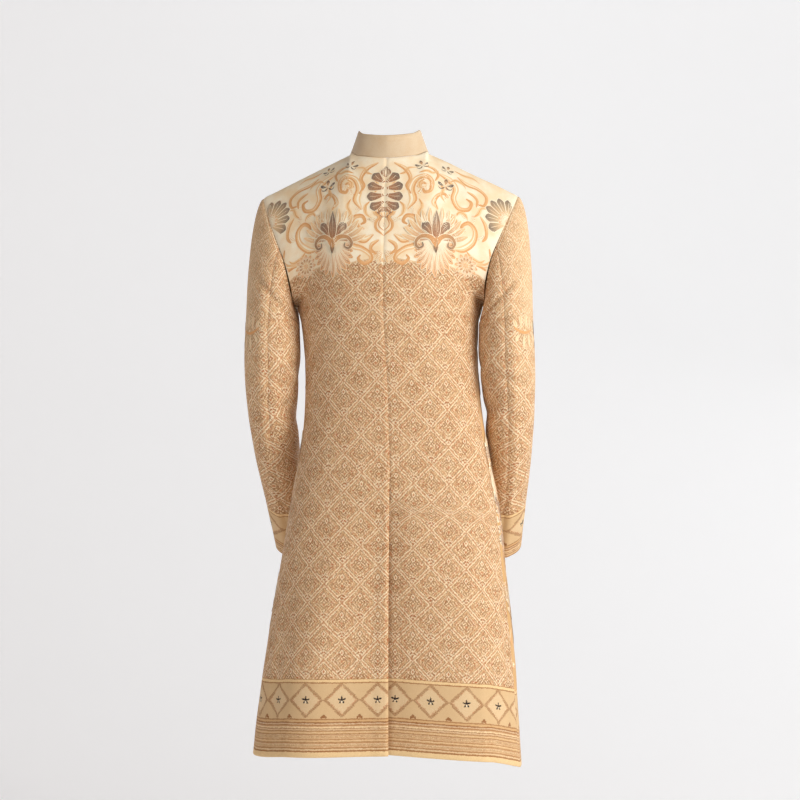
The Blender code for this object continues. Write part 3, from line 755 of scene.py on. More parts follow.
# Creases of the sleeve: from (turn, down) to (turn, down), with a half width down the arm.
Crease = namedtuple("Crease", "turn_0 down_0 turn_1 down_1 reach lift")
CREASES = (
    Crease(160, 1.14, 200, 1.24, 0.045, -0.0030),
    Crease(120, 1.30, 200, 1.42, 0.045, -0.0040),
    Crease(110, 1.50, 190, 1.60, 0.045, -0.0030),
    Crease(52, 0.58, 168, 0.74, 0.034, -0.0048),
    Crease(60, 0.86, 160, 0.98, 0.040, -0.0026),
    Crease(60, 1.21, 155, 1.13, 0.016, 0.0018),
    Crease(56, 1.25, 158, 1.17, 0.018, -0.0030),
    Crease(60, 1.38, 160, 1.32, 0.016, -0.0026),
    Crease(66, 1.58, 150, 1.64, 0.018, -0.0022),
    Crease(75, 1.22, 165, 1.27, 0.022, -0.0018),
    Crease(40, 1.34, 150, 1.33, 0.020, -0.0016),
    Crease(60, 1.47, 150, 1.44, 0.018, 0.0014),
    Crease(50, 1.70, 140, 1.76, 0.022, -0.0016),
    Crease(230, 1.26, 330, 1.36, 0.030, -0.0024),
    Crease(220, 1.42, 320, 1.40, 0.026, -0.0022),
    Crease(240, 1.10, 310, 1.18, 0.030, -0.0016),
)
PRESSED_TURN, PRESSED_LIFT = 74, 0.0022  # the sleeve is pressed to a soft ridge down its back


def arm_point(height, turn):
    _, x, y, half_width, half_depth, tilt = np.moveaxis(smooth_table(ARM, height), -1, 0)
    angle, tilt = np.radians(turn), np.radians(tilt)
    reach = half_depth * np.sin(angle)
    return np.stack(
        [x + half_width * np.cos(angle), y + reach * np.cos(tilt), height - reach * np.sin(tilt)], -1
    )


def sleeve_form(turn, down):
    """The sleeve before its creases, for the left arm. down runs from 0 at the armhole to 1 at the
    cap's end and on to 2 at the cuff."""
    height = ARM[0].height + (ARM[-1].height - ARM[0].height) * np.clip(down - 1, 0, 1)
    start, end = scye_point(np.mod(turn, 360)), arm_point(ARM[0].height + 0 * turn, turn)
    high = (1 + np.cos(np.radians(turn))) / 2
    out, aside = 0.48 + 0.27 * high, 0.22 * np.sin(np.radians(turn))
    leaving = unit(np.stack([out, aside, -np.sqrt(1 - out**2)], -1))
    far = np.linalg.norm(end - start, axis=-1, keepdims=True)
    t = np.clip(down, 0, 1)[..., None]
    cap = hermite(start, leaving * far * 0.38, end, np.array([0.03, 0, -1]) * far * 0.9, t)
    return np.where((down <= 1)[..., None], cap, arm_point(height, turn))


def sleeve_lift(turn, down):
    lift = 0.0 * turn
    for crease in CREASES:
        ahead = (np.mod(turn, 360) - crease.turn_0) / (crease.turn_1 - crease.turn_0)
        middle = crease.down_0 + (crease.down_1 - crease.down_0) * np.clip(ahead, 0, 1)
        fade = smooth_step(1.6 - 2.2 * np.abs(ahead - 0.5))
        lift = lift + crease.lift * np.exp(-(((down - middle) / crease.reach) ** 2)) * fade
    pressed = np.exp(-(((turn - PRESSED_TURN) / 11) ** 2)) * smooth_step((down - 0.35) / 0.5)
    return lift + PRESSED_LIFT * pressed


def sleeve_piece(first, last, mirror, beside=None):
    """One sleeve piece, made for the left arm and mirrored for the right. Its weave carries on from
    the last column of the piece beside it."""
    turn = first + (last - first) * crowded((last - first) // TURN_STEP + 1, 0.4)
    down = np.concatenate([np.linspace(0, 1, CAP_ROWS)[:-1], 1 + np.linspace(0, 1, ARM_ROWS)])[::-1]
    turn, down = np.meshgrid(turn, down, indexing="ij")
    normals = -normals_of(sleeve_form, turn, np.clip(down, 2e-3, 2 - 2e-3), 1e-2)
    smooth = sleeve_form(turn, down)
    crown = int(np.argmin(np.abs(turn[:, 0])))
    u, v = measured(smooth, normals, (-1.5, 0), ARM_ROWS - 1, crown)
    if beside:
        u, v = u - u[:1] + beside.u[-1], v - v[:1] + beside.v[-1]
    seam = np.minimum(np.abs(u - u[:1]), np.abs(u - u[-1:]))
    dip = np.exp(-((seam / SEAM_REACH) ** 2)) + np.exp(-(((v[:, -1:] - v) / SEAM_REACH) ** 2))
    lift = sleeve_lift(turn, down) + uneven(smooth, 0.00020) - SEAM_DIP * dip
    under = smooth_step((1 - np.cos(np.radians(turn))) / 1.2)
    lift = lift - 0.0030 * under * np.exp(-(((v[:, -1:] - v) / 0.013) ** 2))
    # On the upper outer side of the arm the ground value pales the lattice towards cream: a painted highlight along
    # the top of the arm, not scroll-work ground.
    ground = 0.30 * np.exp(-(((turn - 12) / 58) ** 2)) * smooth_step((1.55 - down) / 0.8)
    shape = (mirror, 1, 1)
    return Piece((smooth + normals * lift[..., None]) * shape, normals * shape, u, v, ground)


SLEEVE = {
    "top_sleeve": (FORE_SEAM - 360, HIND_SEAM, (0.235, 0.690), 0.111),
    "under_sleeve": (HIND_SEAM, FORE_SEAM, (0.200, 0.590), 0.0706),
}
for side, mirror in (("left", 1), ("right", -1)):
    for half, (first, last, cut, area) in SLEEVE.items():
        name = f"{half}_{side}"
        pieces[name] = sleeve_piece(first, last, mirror, pieces.get(name.replace("under", "top")))
        shift = (-0.016, CUFF_IN_BORDER)
        sewn[name] = shell_mesh(f"{name}_cloth", pieces[name], CLOTH, shift, BROCADE)
        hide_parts(name)
        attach(sewn[name], "root")

# ==== Scroll-work ===============================================================================
# Scrolls, leaves and flower heads in peach, orange-brown and grey silk on the creamy ground of the
# yoke and the fronts, and on the upper sleeves, where the lattice is paled by a painted highlight.
# Each stroke is a run of satin stitch that stands a little proud of the cloth.

# A stroke's line is in millimetres on the cloth. Its thread goes from the start dye to the end dye.
Stroke = namedtuple("Stroke", "line width start end shape layer", defaults=(0,))
PEACH, ORANGE, UMBER = dye(243, 204, 152), dye(222, 156, 92), dye(174, 108, 62)
GREY, SLATE, IVORY = dye(102, 89, 82), dye(78, 68, 66), dye(251, 238, 208)
FINGER = dye(240, 217, 178)
STITCH_LIFT, LAYER_LIFT = 0.00018, 0.000010  # above the cloth, and for each layer over that
STATION = 2.4  # distance between the points of a stroke, in millimetres
STITCH = 0.8  # from one thread of silk to the next
LOWEST_STITCH = 0.140  # above the hem, where the woven border ends
SHAPES = {  # a stroke's width along its length
    "line": lambda t: np.minimum(1, np.minimum(t, 1 - t) * 7 + 0.15) ** 0.6,
    "tail": lambda t: np.minimum(1, t * 9 + 0.2) * (1 - t * 0.85),
    "leaf": lambda t: np.sin(np.pi * np.clip(t, 0.02, 0.985) ** 0.85),
    "wedge": lambda t: np.clip(0.16 + t * 1.05, 0, 1) * np.sqrt(np.clip((1 - t) / 0.22, 0.02, 1)),
    "petal": lambda t: np.sin(np.pi * np.clip(t, 0.02, 0.975) ** 1.7) ** 0.75 * 0.96 + 0.04,
}


def moved(strokes, across, up, turn=0.0, size=1.0, flip=1):
    """The strokes turned clockwise by so many degrees, resized, and moved to a place."""
    angle = np.radians(turn)
    spin = np.array([[np.cos(angle), -np.sin(angle)], [np.sin(angle), np.cos(angle)]])
    moved_strokes = []
    for stroke in strokes:
        line = np.array(stroke.line, float) * (flip, 1) * size
        line = line @ spin + (across, up)
        moved_strokes.append(stroke._replace(line=line, width=stroke.width * size))
    return moved_strokes


def stacked(strokes, first=6):
    """The strokes with each one sewn over those before it."""
    return [stroke._replace(layer=first + number) for number, stroke in enumerate(strokes)]


def both_sides(strokes):
    return strokes + moved(strokes, 0, 0, flip=-1)


def fan(angles, inner, outer, width, start, end, bend=0.0, edge=1.1, shape="petal"):
    """Petals that fan out from a point, at degrees from upright, each with a pale outline."""
    strokes = []
    for angle in angles:
        way = np.array([np.sin(np.radians(angle)), np.cos(np.radians(angle))])
        middle = way * (inner + outer) / 2 + np.array([way[1], -way[0]]) * bend * np.sign(angle)
        line = [way * inner, middle, way * outer]
        rim_line = [way * (inner - 1), middle, way * (outer + edge)]
        strokes.append(Stroke(rim_line, width + 2 * edge, IVORY, IVORY, shape))
        strokes.append(Stroke(line, width, start, end, shape))
        strokes.append(Stroke([way * (inner + 2), middle, way * (outer - 5)], 0.9, start, IVORY, "line"))
    return strokes


def scroll(line, width=11.0):
    """A curling ribbon: a pale band that tapers between orange-brown edges, shaded along one side."""
    line = np.array(line, float)
    along = np.gradient(line, axis=0)
    aside = np.stack([along[:, 1], -along[:, 0]], -1)
    aside = aside / np.linalg.norm(aside, axis=-1, keepdims=True)
    aside = aside * (width / 2 * SHAPES["tail"](np.linspace(0, 1, len(line))))[:, None]
    strokes = [
        Stroke(line, width, IVORY, IVORY, "tail"),
        Stroke(line + aside * 0.5, width * 0.45, PEACH, PEACH, "line"),
        Stroke(line + aside, 3.1, ORANGE, ORANGE, "line"),
        Stroke(line - aside, 2.6, PEACH, ORANGE, "line"),
        Stroke(line + aside * 0.1, 1.2, PEACH, ORANGE, "line"),
    ]
    return stacked(strokes, 0)


def palmette():
    """Five pairs of broad petals and a top one up a rib, about 82 mm tall."""
    strokes = []
    rows = ((2, 152, 25, 17), (12, 118, 29, 18), (24, 97, 32, 19), (36, 77, 32, 19), (47, 50, 29, 19))
    for up, angle, long, width in rows:
        petal = fan((angle,), 1, long, width, UMBER, GREY, 1.5, 1.0, "wedge")
        strokes += moved(both_sides(petal), 0, up)
    strokes += moved(fan((0,), 4, 27, 19, UMBER, GREY, 0, 1.0, "leaf"), 0, 54)
    strokes.append(Stroke([(0, 0), (0, 30), (0, 62)], 2.2, IVORY, IVORY, "tail"))
    return stacked(strokes)


def lily():
    """A spray of peach petals over two grey leaves and two curled scrolls, with a fringed flower
    head hanging below, about 115 mm tall."""
    strokes = []
    for angle, long in ((100, 36), (113, 41), (126, 47), (139, 51), (152, 55), (165, 59), (180, 62)):
        around = (angle,) if angle == 180 else (angle, -angle)
        strokes += fan(around, 12, long, 11.0, IVORY, ORANGE, 2.5, 0.9)
        strokes += fan(around, 22, long - 3, 3.0, ORANGE, UMBER, 1.5, 0.3)
    strokes += fan((-78, 78, -64, 64, -50, 50, -36, 36, -24, 24, -11, 11), 14, 62, 8.0, UMBER, PEACH, 4.0, 1.2)
    strokes += fan((-36, 36), 10, 42, 17.0, UMBER, GREY, -2.0, 1.2, "wedge")
    strokes += fan((0,), 0, 56, 15.0, UMBER, GREY, 0, 1.2, "leaf")
    curl = [(0, -10), (6, 4), (17, 10), (29, 8), (36, -2), (31, -11), (23, -8), (24, -1)]
    strokes += both_sides([Stroke(curl, 12.4, IVORY, IVORY, "tail"), Stroke(curl, 9.8, ORANGE, SLATE, "tail")])
    strokes.append(Stroke([(0, -20), (0, -6), (0, 10)], 8.0, SLATE, ORANGE, "leaf"))
    return stacked(strokes)


def urn():
    """Nested curves that hang below the palmette, about 50 mm tall."""
    outer = [(6, 6), (17, -2), (16, -13), (9, -20), (15, -31), (13, -43), (0, -54)]
    inner = [(3, 0), (10, -5), (9, -12), (4, -19), (9, -30), (8, -38), (0, -45)]
    strokes = both_sides(scroll(outer, 5.0) + [Stroke(inner, 1.8, UMBER, ORANGE, "line")])
    strokes += moved(fan((-34, 34, 0), 0, 11, 5.5, ORANGE, PEACH, 0, 0.6), 0, -20)
    strokes += moved(fan((0,), 0, 9, 5.0, UMBER, ORANGE, 0, 0.6), 0, -38)
    return stacked(strokes)


def sprig():
    """A small brown three-leaved sprig."""
    strokes = fan((-62, 62), 3, 17, 6.5, SLATE, GREY, 2.0, 0.6)
    strokes += fan((0,), 3, 17, 7.5, ORANGE, SLATE, 0, 0.6)
    curl = [(1, -1), (6, -6), (12, -5), (13, -1)]
    return stacked(strokes + both_sides([Stroke(curl, 3.0, SLATE, SLATE, "tail")]))


def leafy(line, width=11.0, leaves=4):
    """A scroll with small leaves along its outer side."""
    strokes = scroll(line, width)
    line = np.array(line, float)
    for place in np.linspace(0.15, 0.8, leaves) * (len(line) - 1):
        low = int(place)
        foot = line[low] + (line[low + 1] - line[low]) * (place - low)
        heading = np.degrees(np.arctan2(*(line[low + 1] - line[low])))
        strokes += moved(fan((48,), 4, 24, 7.5, PEACH, ORANGE, 2.5, 0.5), *foot, turn=heading)
    return strokes


def shell():
    """A fan of grey-tipped petals over a peach heart, about 44 mm in radius."""
    strokes = fan(range(-75, 76, 25), 10, 46, 15.5, PEACH, GREY, 0.0, 1.4, "wedge")
    strokes += fan((-60, -36, -12, 12, 36, 60), 4, 20, 5.0, IVORY, ORANGE, 0, 0.7)
    return stacked(strokes + [Stroke([(-8, -3), (0, 4), (8, -3)], 4.0, UMBER, UMBER, "line")])


def aster(size=1.0):
    """A round fringed flower head with a peach eye."""
    strokes = fan(range(0, 360, 30), 7, 26, 9.0, IVORY, ORANGE, 0, 0.7)
    strokes += fan(range(15, 375, 30), 5, 17, 5.5, PEACH, UMBER, 0, 0.5)
    strokes += fan(range(0, 360, 60), 0, 7, 4.0, ORANGE, PEACH, 0, 0.4)
    return stacked(moved(strokes, 0, 0, size=size))


YOKE_SCROLLS = (  # each ribbon's line, and its width
    ([(18, -150), (34, -160), (52, -152), (60, -136), (54, -120), (40, -116), (34, -126), (41, -132)], 11),
    ([(40, -104), (50, -86), (46, -64), (54, -44), (70, -38), (82, -50), (80, -68), (70, -72), (66, -64)], 12),
    ([(124, -176), (144, -174), (162, -158), (166, -138), (154, -126), (141, -134), (147, -143)], 11),
    ([(96, -30), (116, -42), (128, -60), (124, -82), (134, -100), (152, -100), (158, -86), (148, -79)], 12),
    ([(14, -10), (34, -22), (44, -42), (38, -58), (46, -74)], 7),
    ([(132, -30), (150, -44), (172, -50), (188, -64), (184, -84), (172, -86)], 8),
    ([(66, -164), (52, -172), (38, -176), (24, -186), (22, -196), (34, -202), (44, -194), (40, -187)], 9),
    ([(94, -106), (86, -92), (94, -78), (106, -74), (114, -82)], 8),
    ([(34, -140), (44, -136), (46, -128)], 4),
    ([(60, -58), (66, -52), (72, -56)], 4),
    ([(8, -160), (20, -168), (22, -178), (12, -186)], 6),
    ([(112, -112), (124, -118), (130, -130), (124, -142)], 7),
    ([(168, -196), (184, -188), (196, -172), (194, -156)], 8),
    ([(176, -108), (186, -122), (188, -140), (180, -152)], 6),
    ([(70, -14), (86, -20), (94, -34), (88, -48)], 6),
    ([(150, -62), (162, -68), (170, -78), (168, -92)], 5),
)


TENDRILS = (
    [(8, -30), (16, -44), (14, -62), (22, -78)],
    [(24, -34), (34, -30), (40, -20), (56, -18)],
    [(58, -30), (72, -26), (84, -30), (96, -22)],
    [(60, -84), (66, -98), (60, -112), (68, -124)],
    [(96, -52), (104, -64), (100, -78), (108, -92)],
    [(128, -14), (146, -22), (164, -24), (178, -34)],
    [(118, -46), (128, -40), (142, -46), (148, -56)],
    [(164, -112), (172, -104), (178, -92), (190, -90)],
    [(128, -118), (136, -108), (148, -112), (152, -122)],
    [(26, -88), (34, -98), (32, -112), (22, -120)],
    [(150, -176), (160, -186), (174, -188), (184, -178)],
    [(70, -44), (60, -52), (62, -62), (72, -60)],
)


def yoke():
    """One half of the yoke: millimetres out from the centre back seam and up from the nape."""
    strokes = []
    for number, (line, width) in enumerate(YOKE_SCROLLS):
        strokes += leafy(line, width) if number < 4 else scroll(line, width)
    strokes += moved(fan((-66, -44, -22, 0, 22, 44, 66), 4, 27, 7.0, ORANGE, PEACH, 1, 0.5), 0, -178, 180)
    for line in TENDRILS:
        strokes += stacked([Stroke(line, 7.0, PEACH, PEACH, "leaf"), Stroke(line, 2.4, ORANGE, ORANGE, "tail")], 2)
    strokes += moved(urn(), 0, -98) + moved(palmette(), 0, -99)
    strokes += moved(aster(0.8), 150, -202) + moved(shell(), 231, -99, -48)
    strokes += moved(sprig(), 108, -58, 6) + moved(sprig(), 64, -14, -20, 0.8) + moved(sprig(), 112, -18, 24, 0.8)
    return strokes + moved(lily(), 92, -164)


def front_scrolls():
    """One front: millimetres out from centre front and up from the neck seam there."""
    ribbons = [stroke for line, width in YOKE_SCROLLS for stroke in scroll(line, width)]
    strokes = []
    for across, up, flip in (
        (0, -34, 1), (212, -238, -1), (0, -442, 1), (212, -622, -1), (214, -430, 1), (204, -652, 1),
        (0, -664, 1),
    ):
        strokes += moved(ribbons, across, up, flip=flip)
    for across, up in ((64, -112), (64, -362), (64, -612), (164, -246), (172, -498), (176, -742), (272, -610)):
        strokes += moved(palmette(), across, up) + moved(urn(), across, up + 1)
    for across, up in ((70, -222), (70, -470), (74, -722), (160, -356), (168, -612), (262, -740), (264, -480)):
        strokes += moved(lily(), across, up)
    for across, up in ((112, -180), (118, -420), (120, -560), (124, -680), (222, -560), (122, -296), (318, -700)):
        strokes += moved(aster(0.7), across, up)
    for across, up in ((26, -250), (26, -500), (28, -770), (116, -60), (122, -812), (222, -838), (110, -330)):
        strokes += moved(sprig(), across, up)
    return strokes + moved(shell(), 156, -96, -30)


def sleeve_scrolls():
    """The upper arm: millimetres back from the shoulder point's line and down from that point."""
    strokes = []
    for foot, tip, high in ((66, 72, 18), (57, 58, 27), (46, 45, 29), (35, 32, 25), (26, 19, 17)):
        finger = [(foot, -247), ((foot + tip) / 2, -247 + high / 2), (tip, -247 + high)]
        strokes += [Stroke(finger, 7.4, FINGER, FINGER, "petal"), Stroke(finger, 1.2, PEACH, ORANGE, "line")]
    for foot, tip, low in ((62, 68, 16), (50, 50, 26), (38, 35, 24), (27, 19, 15)):
        finger = [(foot, -251), ((foot + tip) / 2, -251 - low / 2), (tip, -251 - low)]
        strokes += [Stroke(finger, 6.6, FINGER, FINGER, "petal"), Stroke(finger, 1.0, PEACH, PEACH, "line")]
    strokes.append(Stroke([(74, -240), (64, -247), (49, -251), (34, -248), (24, -241)], 4.6, ORANGE, ORANGE, "leaf"))
    strokes += [Stroke([(13, -228), (11, -243), (14, -258)], 6.0, SLATE, GREY, "leaf")]
    return stacked(strokes + [Stroke([(7, -262), (9, -272), (15, -280)], 4.5, GREY, ORANGE, "leaf")])


def found_on(piece, wanted):
    """Where each wanted (u, v) lies on a piece's grid, as column and row numbers with fractions,
    and whether the piece reaches it."""
    places = np.stack([piece.u, piece.v], -1)
    coarse = places[::3, ::3].reshape(-1, 2)
    rows = len(range(0, places.shape[1], 3))
    nearest = np.concatenate(
        [np.argmin(((block[:, None] - coarse) ** 2).sum(-1), axis=1) for block in np.array_split(wanted, 24)]
    )
    spot = np.stack([nearest // rows, nearest % rows], -1) * 3.0
    most = np.array(places.shape[:2]) - 1.001
    for _ in range(12):
        cell = np.clip(spot, 0, most).astype(int)
        here = between(places, np.clip(spot, 0, most))
        right = places[cell[:, 0] + 1, cell[:, 1]] - places[cell[:, 0], cell[:, 1]]
        above = places[cell[:, 0], cell[:, 1] + 1] - places[cell[:, 0], cell[:, 1]]
        missed = wanted - here
        area = right[:, 0] * above[:, 1] - right[:, 1] * above[:, 0]
        step = np.stack(
            [
                (missed[:, 0] * above[:, 1] - missed[:, 1] * above[:, 0]) / area,
                (right[:, 0] * missed[:, 1] - right[:, 1] * missed[:, 0]) / area,
            ],
            -1,
        )
        spot = np.clip(spot + np.clip(step, -6, 6), 0, most)
    return spot, np.linalg.norm(wanted - between(places, spot), axis=-1) < 0.0003


def between(grid, spot):
    """A grid's value at column and row numbers with fractions, on a smooth surface through it."""
    cell = spot.astype(int)
    t = spot - cell
    shares = (-t + 2 * t**2 - t**3, 2 - 5 * t**2 + 3 * t**3, t + 4 * t**2 - 3 * t**3, t**3 - t**2)
    columns, rows = grid.shape[:2]
    value = 0
    for i, wide in enumerate(shares):
        for j, tall in enumerate(shares):
            beside = np.clip(cell + (i - 1, j - 1), 0, (columns - 1, rows - 1))
            value = value + grid[beside[:, 0], beside[:, 1]] * wide[:, :1] * tall[:, 1:] / 4
    return value


def embroider(name, piece, strokes, material):
    """One mesh of all the strokes that fall on a piece, cut off at its edges."""
    centre = int(np.argmin(np.abs(piece.u[:, -1])))
    top = piece.v[centre, -1]
    wanted, heights, dyes, weave, quads = [], [], [], [], []
    for stroke in strokes:
        line = np.array(stroke.line, float)
        long = np.linalg.norm(np.diff(line, axis=0), axis=-1).sum()
        count = max(6, int(long / STATION))
        table = np.concatenate([np.arange(len(line))[:, None], line], axis=1)
        path = smooth_table(table, np.linspace(0, len(line) - 1, count))[:, 1:]
        along = unit(np.gradient(path, axis=0))
        t = np.linspace(0, 1, count)
        half = np.stack([along[:, 1], -along[:, 0]], -1) * (SHAPES[stroke.shape](t) * stroke.width / 2)[:, None]
        lanes = max(2, round(stroke.width / (3.2 if stroke.width < 12 else 2.1)))
        first = len(heights)
        for way in np.linspace(-1, 1, lanes + 1):
            wanted.append(path + half * way)
            heights += [STITCH_LIFT + LAYER_LIFT * stroke.layer] * count
            dyes.append(np.array(stroke.start) + np.outer(t, np.array(stroke.end) - np.array(stroke.start)))
            weave.append(np.stack([t * long, way * stroke.width / 2 + 0 * t], -1) / 1000)
        for lane in range(lanes):
            low = first + lane * count + np.arange(count - 1)
            quads.append(np.stack([low, low + count, low + count + 1, low + 1], -1))
    wanted = np.concatenate(wanted) / 1000 + (0, top)
    spot, reached = found_on(piece, wanted)
    reached &= wanted[:, 1] > LOWEST_STITCH
    points = between(piece.points, spot) + between(piece.normals, spot) * np.array(heights)[:, None]
    quads = np.concatenate(quads)
    quads = quads[reached[quads].all(axis=1)]
    a, b, c = points[quads[:, 0]], points[quads[:, 1]], points[quads[:, 3]]
    out = between(piece.normals, spot)[quads[:, 0]]
    inside_out = np.sum(np.cross(b - a, c - a) * out, axis=-1) < 0
    quads[inside_out] = quads[inside_out, ::-1]
    used = np.unique(quads)
    again = np.zeros(len(points), int)
    again[used] = np.arange(len(used))
    mesh = bpy.data.meshes.new(name)
    mesh.from_pydata(points[used].tolist(), [], again[quads].tolist())
    colours = np.concatenate(dyes)[used].astype(np.float32)
    mesh.attributes.new("silk", "FLOAT_COLOR", "POINT").data.foreach_set("color", colours.ravel())
    corner = np.empty(len(mesh.loops), np.int32)
    mesh.loops.foreach_get("vertex_index", corner)
    uv = np.concatenate(weave)[used][corner]
    mesh.uv_layers.new(name="weave").data.foreach_set("uv", uv.ravel())
    mesh.shade_smooth()
    mesh.materials.append(material)
    made = bpy.data.objects.new(name, mesh)
    bpy.context.scene.collection.objects.link(made)
    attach(made, "root")
    return made


def silk_finish():
    finish = Finish("scroll_silk", specular_ior_level=0.2, sheen_weight=0.03, sheen_roughness=0.3)
    uv, along, aside = finish.weave()
    fleck = finish.flecks(along.threads(STITCH), aside.threads(2.2))
    dyed = finish.node("ShaderNodeAttribute", {"attribute_name": "silk"})
    place = finish.node("ShaderNodeTexCoord", {}, out=3)
    patchy = finish.noise(place, 60.0)
    colour = finish.mix(fleck * 0.22, dyed, dye(250, 226, 188))
    colour = finish.mix(patchy.over(0.45, 0.7) * 0.25, colour, dye(226, 170, 118))
    return finish.shade(colour, 0.46 + fleck * 0.12, (along * (2 * np.pi / STITCH)).wave(), 0.00006)


SILK = silk_finish()
worked = {}
for side in ("left", "right"):
    for part, strokes in (
        (f"back_{side}", yoke()),
        (f"front_{side}", front_scrolls()),
        (f"top_sleeve_{side}", sleeve_scrolls()),
    ):
        worked[part] = embroider(f"{part}_scrolls", pieces[part], strokes, SILK)

# ==== Collar ====================================================================================
# A plain gold stand collar, stiffened, that follows the neck seam and is open at centre front. Its
# top edge is turned in and topstitched.

COLLAR_HEIGHT, COLLAR_CLOTH, COLLAR_END = 0.040, 0.0026, 176
COLLAR_LEAN = ((0, 8), (60, 16), (95, 22), (135, 18), (180, 12))  # degrees in from upright, by turn
COLLAR_GAP = 0.0005  # between the collar and the neck seam
COLLAR_WARP, COLLAR_WEFT = 0.7, 0.6  # thread pitch, in millimetres

turns, rise = np.meshgrid(
    np.linspace(-COLLAR_END, COLLAR_END, 140), np.linspace(0, 1, 22), indexing="ij"
)
by_side = np.stack([np.where(turns < 0, -1, 1), 1 + 0 * turns, 1 + 0 * turns], -1)
foot = neck_point(np.abs(turns)) * by_side
along = np.gradient(foot, axis=0)
inward = unit(np.cross(along, (0, 0, 1)))
lean = np.radians(np.interp(np.abs(turns), *zip(*COLLAR_LEAN)))
upward = np.array([0, 0, 1]) * np.cos(lean)[..., None] + inward * np.sin(lean)[..., None]
collar_points = foot + upward * (COLLAR_GAP + COLLAR_HEIGHT * rise)[..., None]
collar_normals = unit(np.cross(upward, along))
crown_line = 0.0005 * np.exp(-(((rise - 0.86) / 0.05) ** 2))
crown_line = crown_line - 0.0004 * np.exp(-(((rise - 0.80) / 0.03) ** 2))
collar_points = collar_points + collar_normals * crown_line[..., None]
collar_u = np.cumsum(np.linalg.norm(along, axis=-1), axis=0)
pieces["collar"] = Piece(collar_points, collar_normals, collar_u, COLLAR_HEIGHT * rise, 0 * rise)


def collar_finish():
    finish = Finish("collar_gold_cloth", sheen_weight=0.15, sheen_roughness=0.35)
    uv, u, v = finish.weave()
    fleck = finish.flecks(u.threads(COLLAR_WARP), v.threads(COLLAR_WEFT))
    patchy = finish.noise(uv, 40.0)
    colour = finish.mix(fleck * 0.5, dye(212, 186, 150), dye(226, 206, 176))
    colour = finish.mix(patchy.over(0.4, 0.7) * 0.3, colour, dye(204, 166, 120))
    roll = (u * (2 * np.pi / COLLAR_WARP)).wave() * 0.3 + (v * (2 * np.pi / COLLAR_WEFT)).wave() * 0.3
    return finish.shade(colour, 0.50 + fleck * 0.12, roll + fleck * 0.3, 0.00008)


sewn["collar"] = shell_mesh("collar_cloth", pieces["collar"], COLLAR_CLOTH, (0, 0), collar_finish())
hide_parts("collar")
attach(sewn["collar"], "root")

# ==== Buttons ===================================================================================
# Eight low metal domes down the left front, each with a beaded rim, sewn on through the cloth.

BUTTON_COUNT, FIRST_BUTTON, LAST_BUTTON = 8, -0.100, -0.600
BUTTON_SIZES = {"Radius": 0.0085, "Dome Height": 0.0060, "Bead Radius": 0.0011, "Bead Count": 22}

front = pieces["front_left"]
centre_column = int(np.argmin(np.abs(front.u[:, 0])))
line, facing = front.points[centre_column], front.normals[centre_column]
heights = np.linspace(FIRST_BUTTON, LAST_BUTTON, BUTTON_COUNT)
seats = np.stack([np.interp(heights, line[:, 2], line[:, axis]) for axis in range(3)], -1)
seat_facing = np.stack([np.interp(heights, line[:, 2], facing[:, axis]) for axis in range(3)], -1)


class Build:
    """A Geometry Nodes tree in the making, with its sizes as named inputs."""

    def __init__(self, name, sizes):
        self.tree = bpy.data.node_groups.new(name, "GeometryNodeTree")
        self.tree.is_modifier = True
        self.sizes, face = sizes, self.tree.interface
        face.new_socket("Geometry", in_out="INPUT", socket_type="NodeSocketGeometry")
        face.new_socket("Geometry", in_out="OUTPUT", socket_type="NodeSocketGeometry")
        for label, value in sizes.items():
            kind = "NodeSocketInt" if isinstance(value, int) else "NodeSocketFloat"
            face.new_socket(label, in_out="INPUT", socket_type=kind)
        self.start = self.tree.nodes.new("NodeGroupInput")

    def given(self, label):
        return self.start.outputs[label]

    def node(self, kind, settings, *inputs, out=0, **named):
        node = self.tree.nodes.new(kind)
        for setting, value in settings.items():
            setattr(node, setting, value)
        shown = [socket for socket in node.inputs if socket.enabled]
        pairs = list(zip(shown, inputs))
        pairs += [(node.inputs[name.replace("_", " ")], value) for name, value in named.items()]
        for socket, value in pairs:
            if isinstance(value, bpy.types.NodeSocket):
                self.tree.links.new(value, socket)
            elif value is not None:
                socket.default_value = value
        return [socket for socket in node.outputs if socket.enabled][out]

    def maths(self, operation, *values):
        return self.node("ShaderNodeMath", {"operation": operation}, *values)

    def grown(self, name, points, facings, edges, geometry, material):
        """Ends the tree, runs it on a plain mesh of points, and returns the result as a piece."""
        whole = self.node("GeometryNodeRealizeInstances", {}, geometry)
        smooth = self.node("GeometryNodeSetShadeSmooth", {}, whole)
        painted = self.node("GeometryNodeSetMaterial", {}, smooth, None, material)
        end = self.tree.nodes.new("NodeGroupOutput")
        self.tree.links.new(painted, end.inputs[0])
        seed = bpy.data.meshes.new(name)
        seed.from_pydata([tuple(point) for point in points], edges, [])
        way = seed.attributes.new("facing", "FLOAT_VECTOR", "POINT")
        way.data.foreach_set("vector", np.asarray(facings, np.float32).ravel())
        carrier = bpy.data.objects.new(f"{name}_seed", seed)
        bpy.context.scene.collection.objects.link(carrier)
        modifier = carrier.modifiers.new("growth", "NODES")
        modifier.node_group = self.tree
        for item in self.tree.interface.items_tree:
            if item.in_out == "INPUT" and item.name in self.sizes:
                modifier[item.identifier] = self.sizes[item.name]
        evaluated = carrier.evaluated_get(bpy.context.evaluated_depsgraph_get())
        mesh = bpy.data.meshes.new_from_object(evaluated)
        carrier.modifiers.clear()
        bpy.data.objects.remove(carrier)
        made = bpy.data.objects.new(name, mesh)
        bpy.context.scene.collection.objects.link(made)
        return made


def button_finish():
    finish = Finish("button_gold", metallic=0.9)
    place = finish.node("ShaderNodeTexCoord", {}, out=3)
    dull = finish.noise(place, 700.0)
    colour = finish.mix(dull.over(0.4, 0.7), dye(214, 170, 104), dye(160, 116, 64))
    return finish.shade(colour, 0.28 + dull * 0.25, dull, 0.00015)


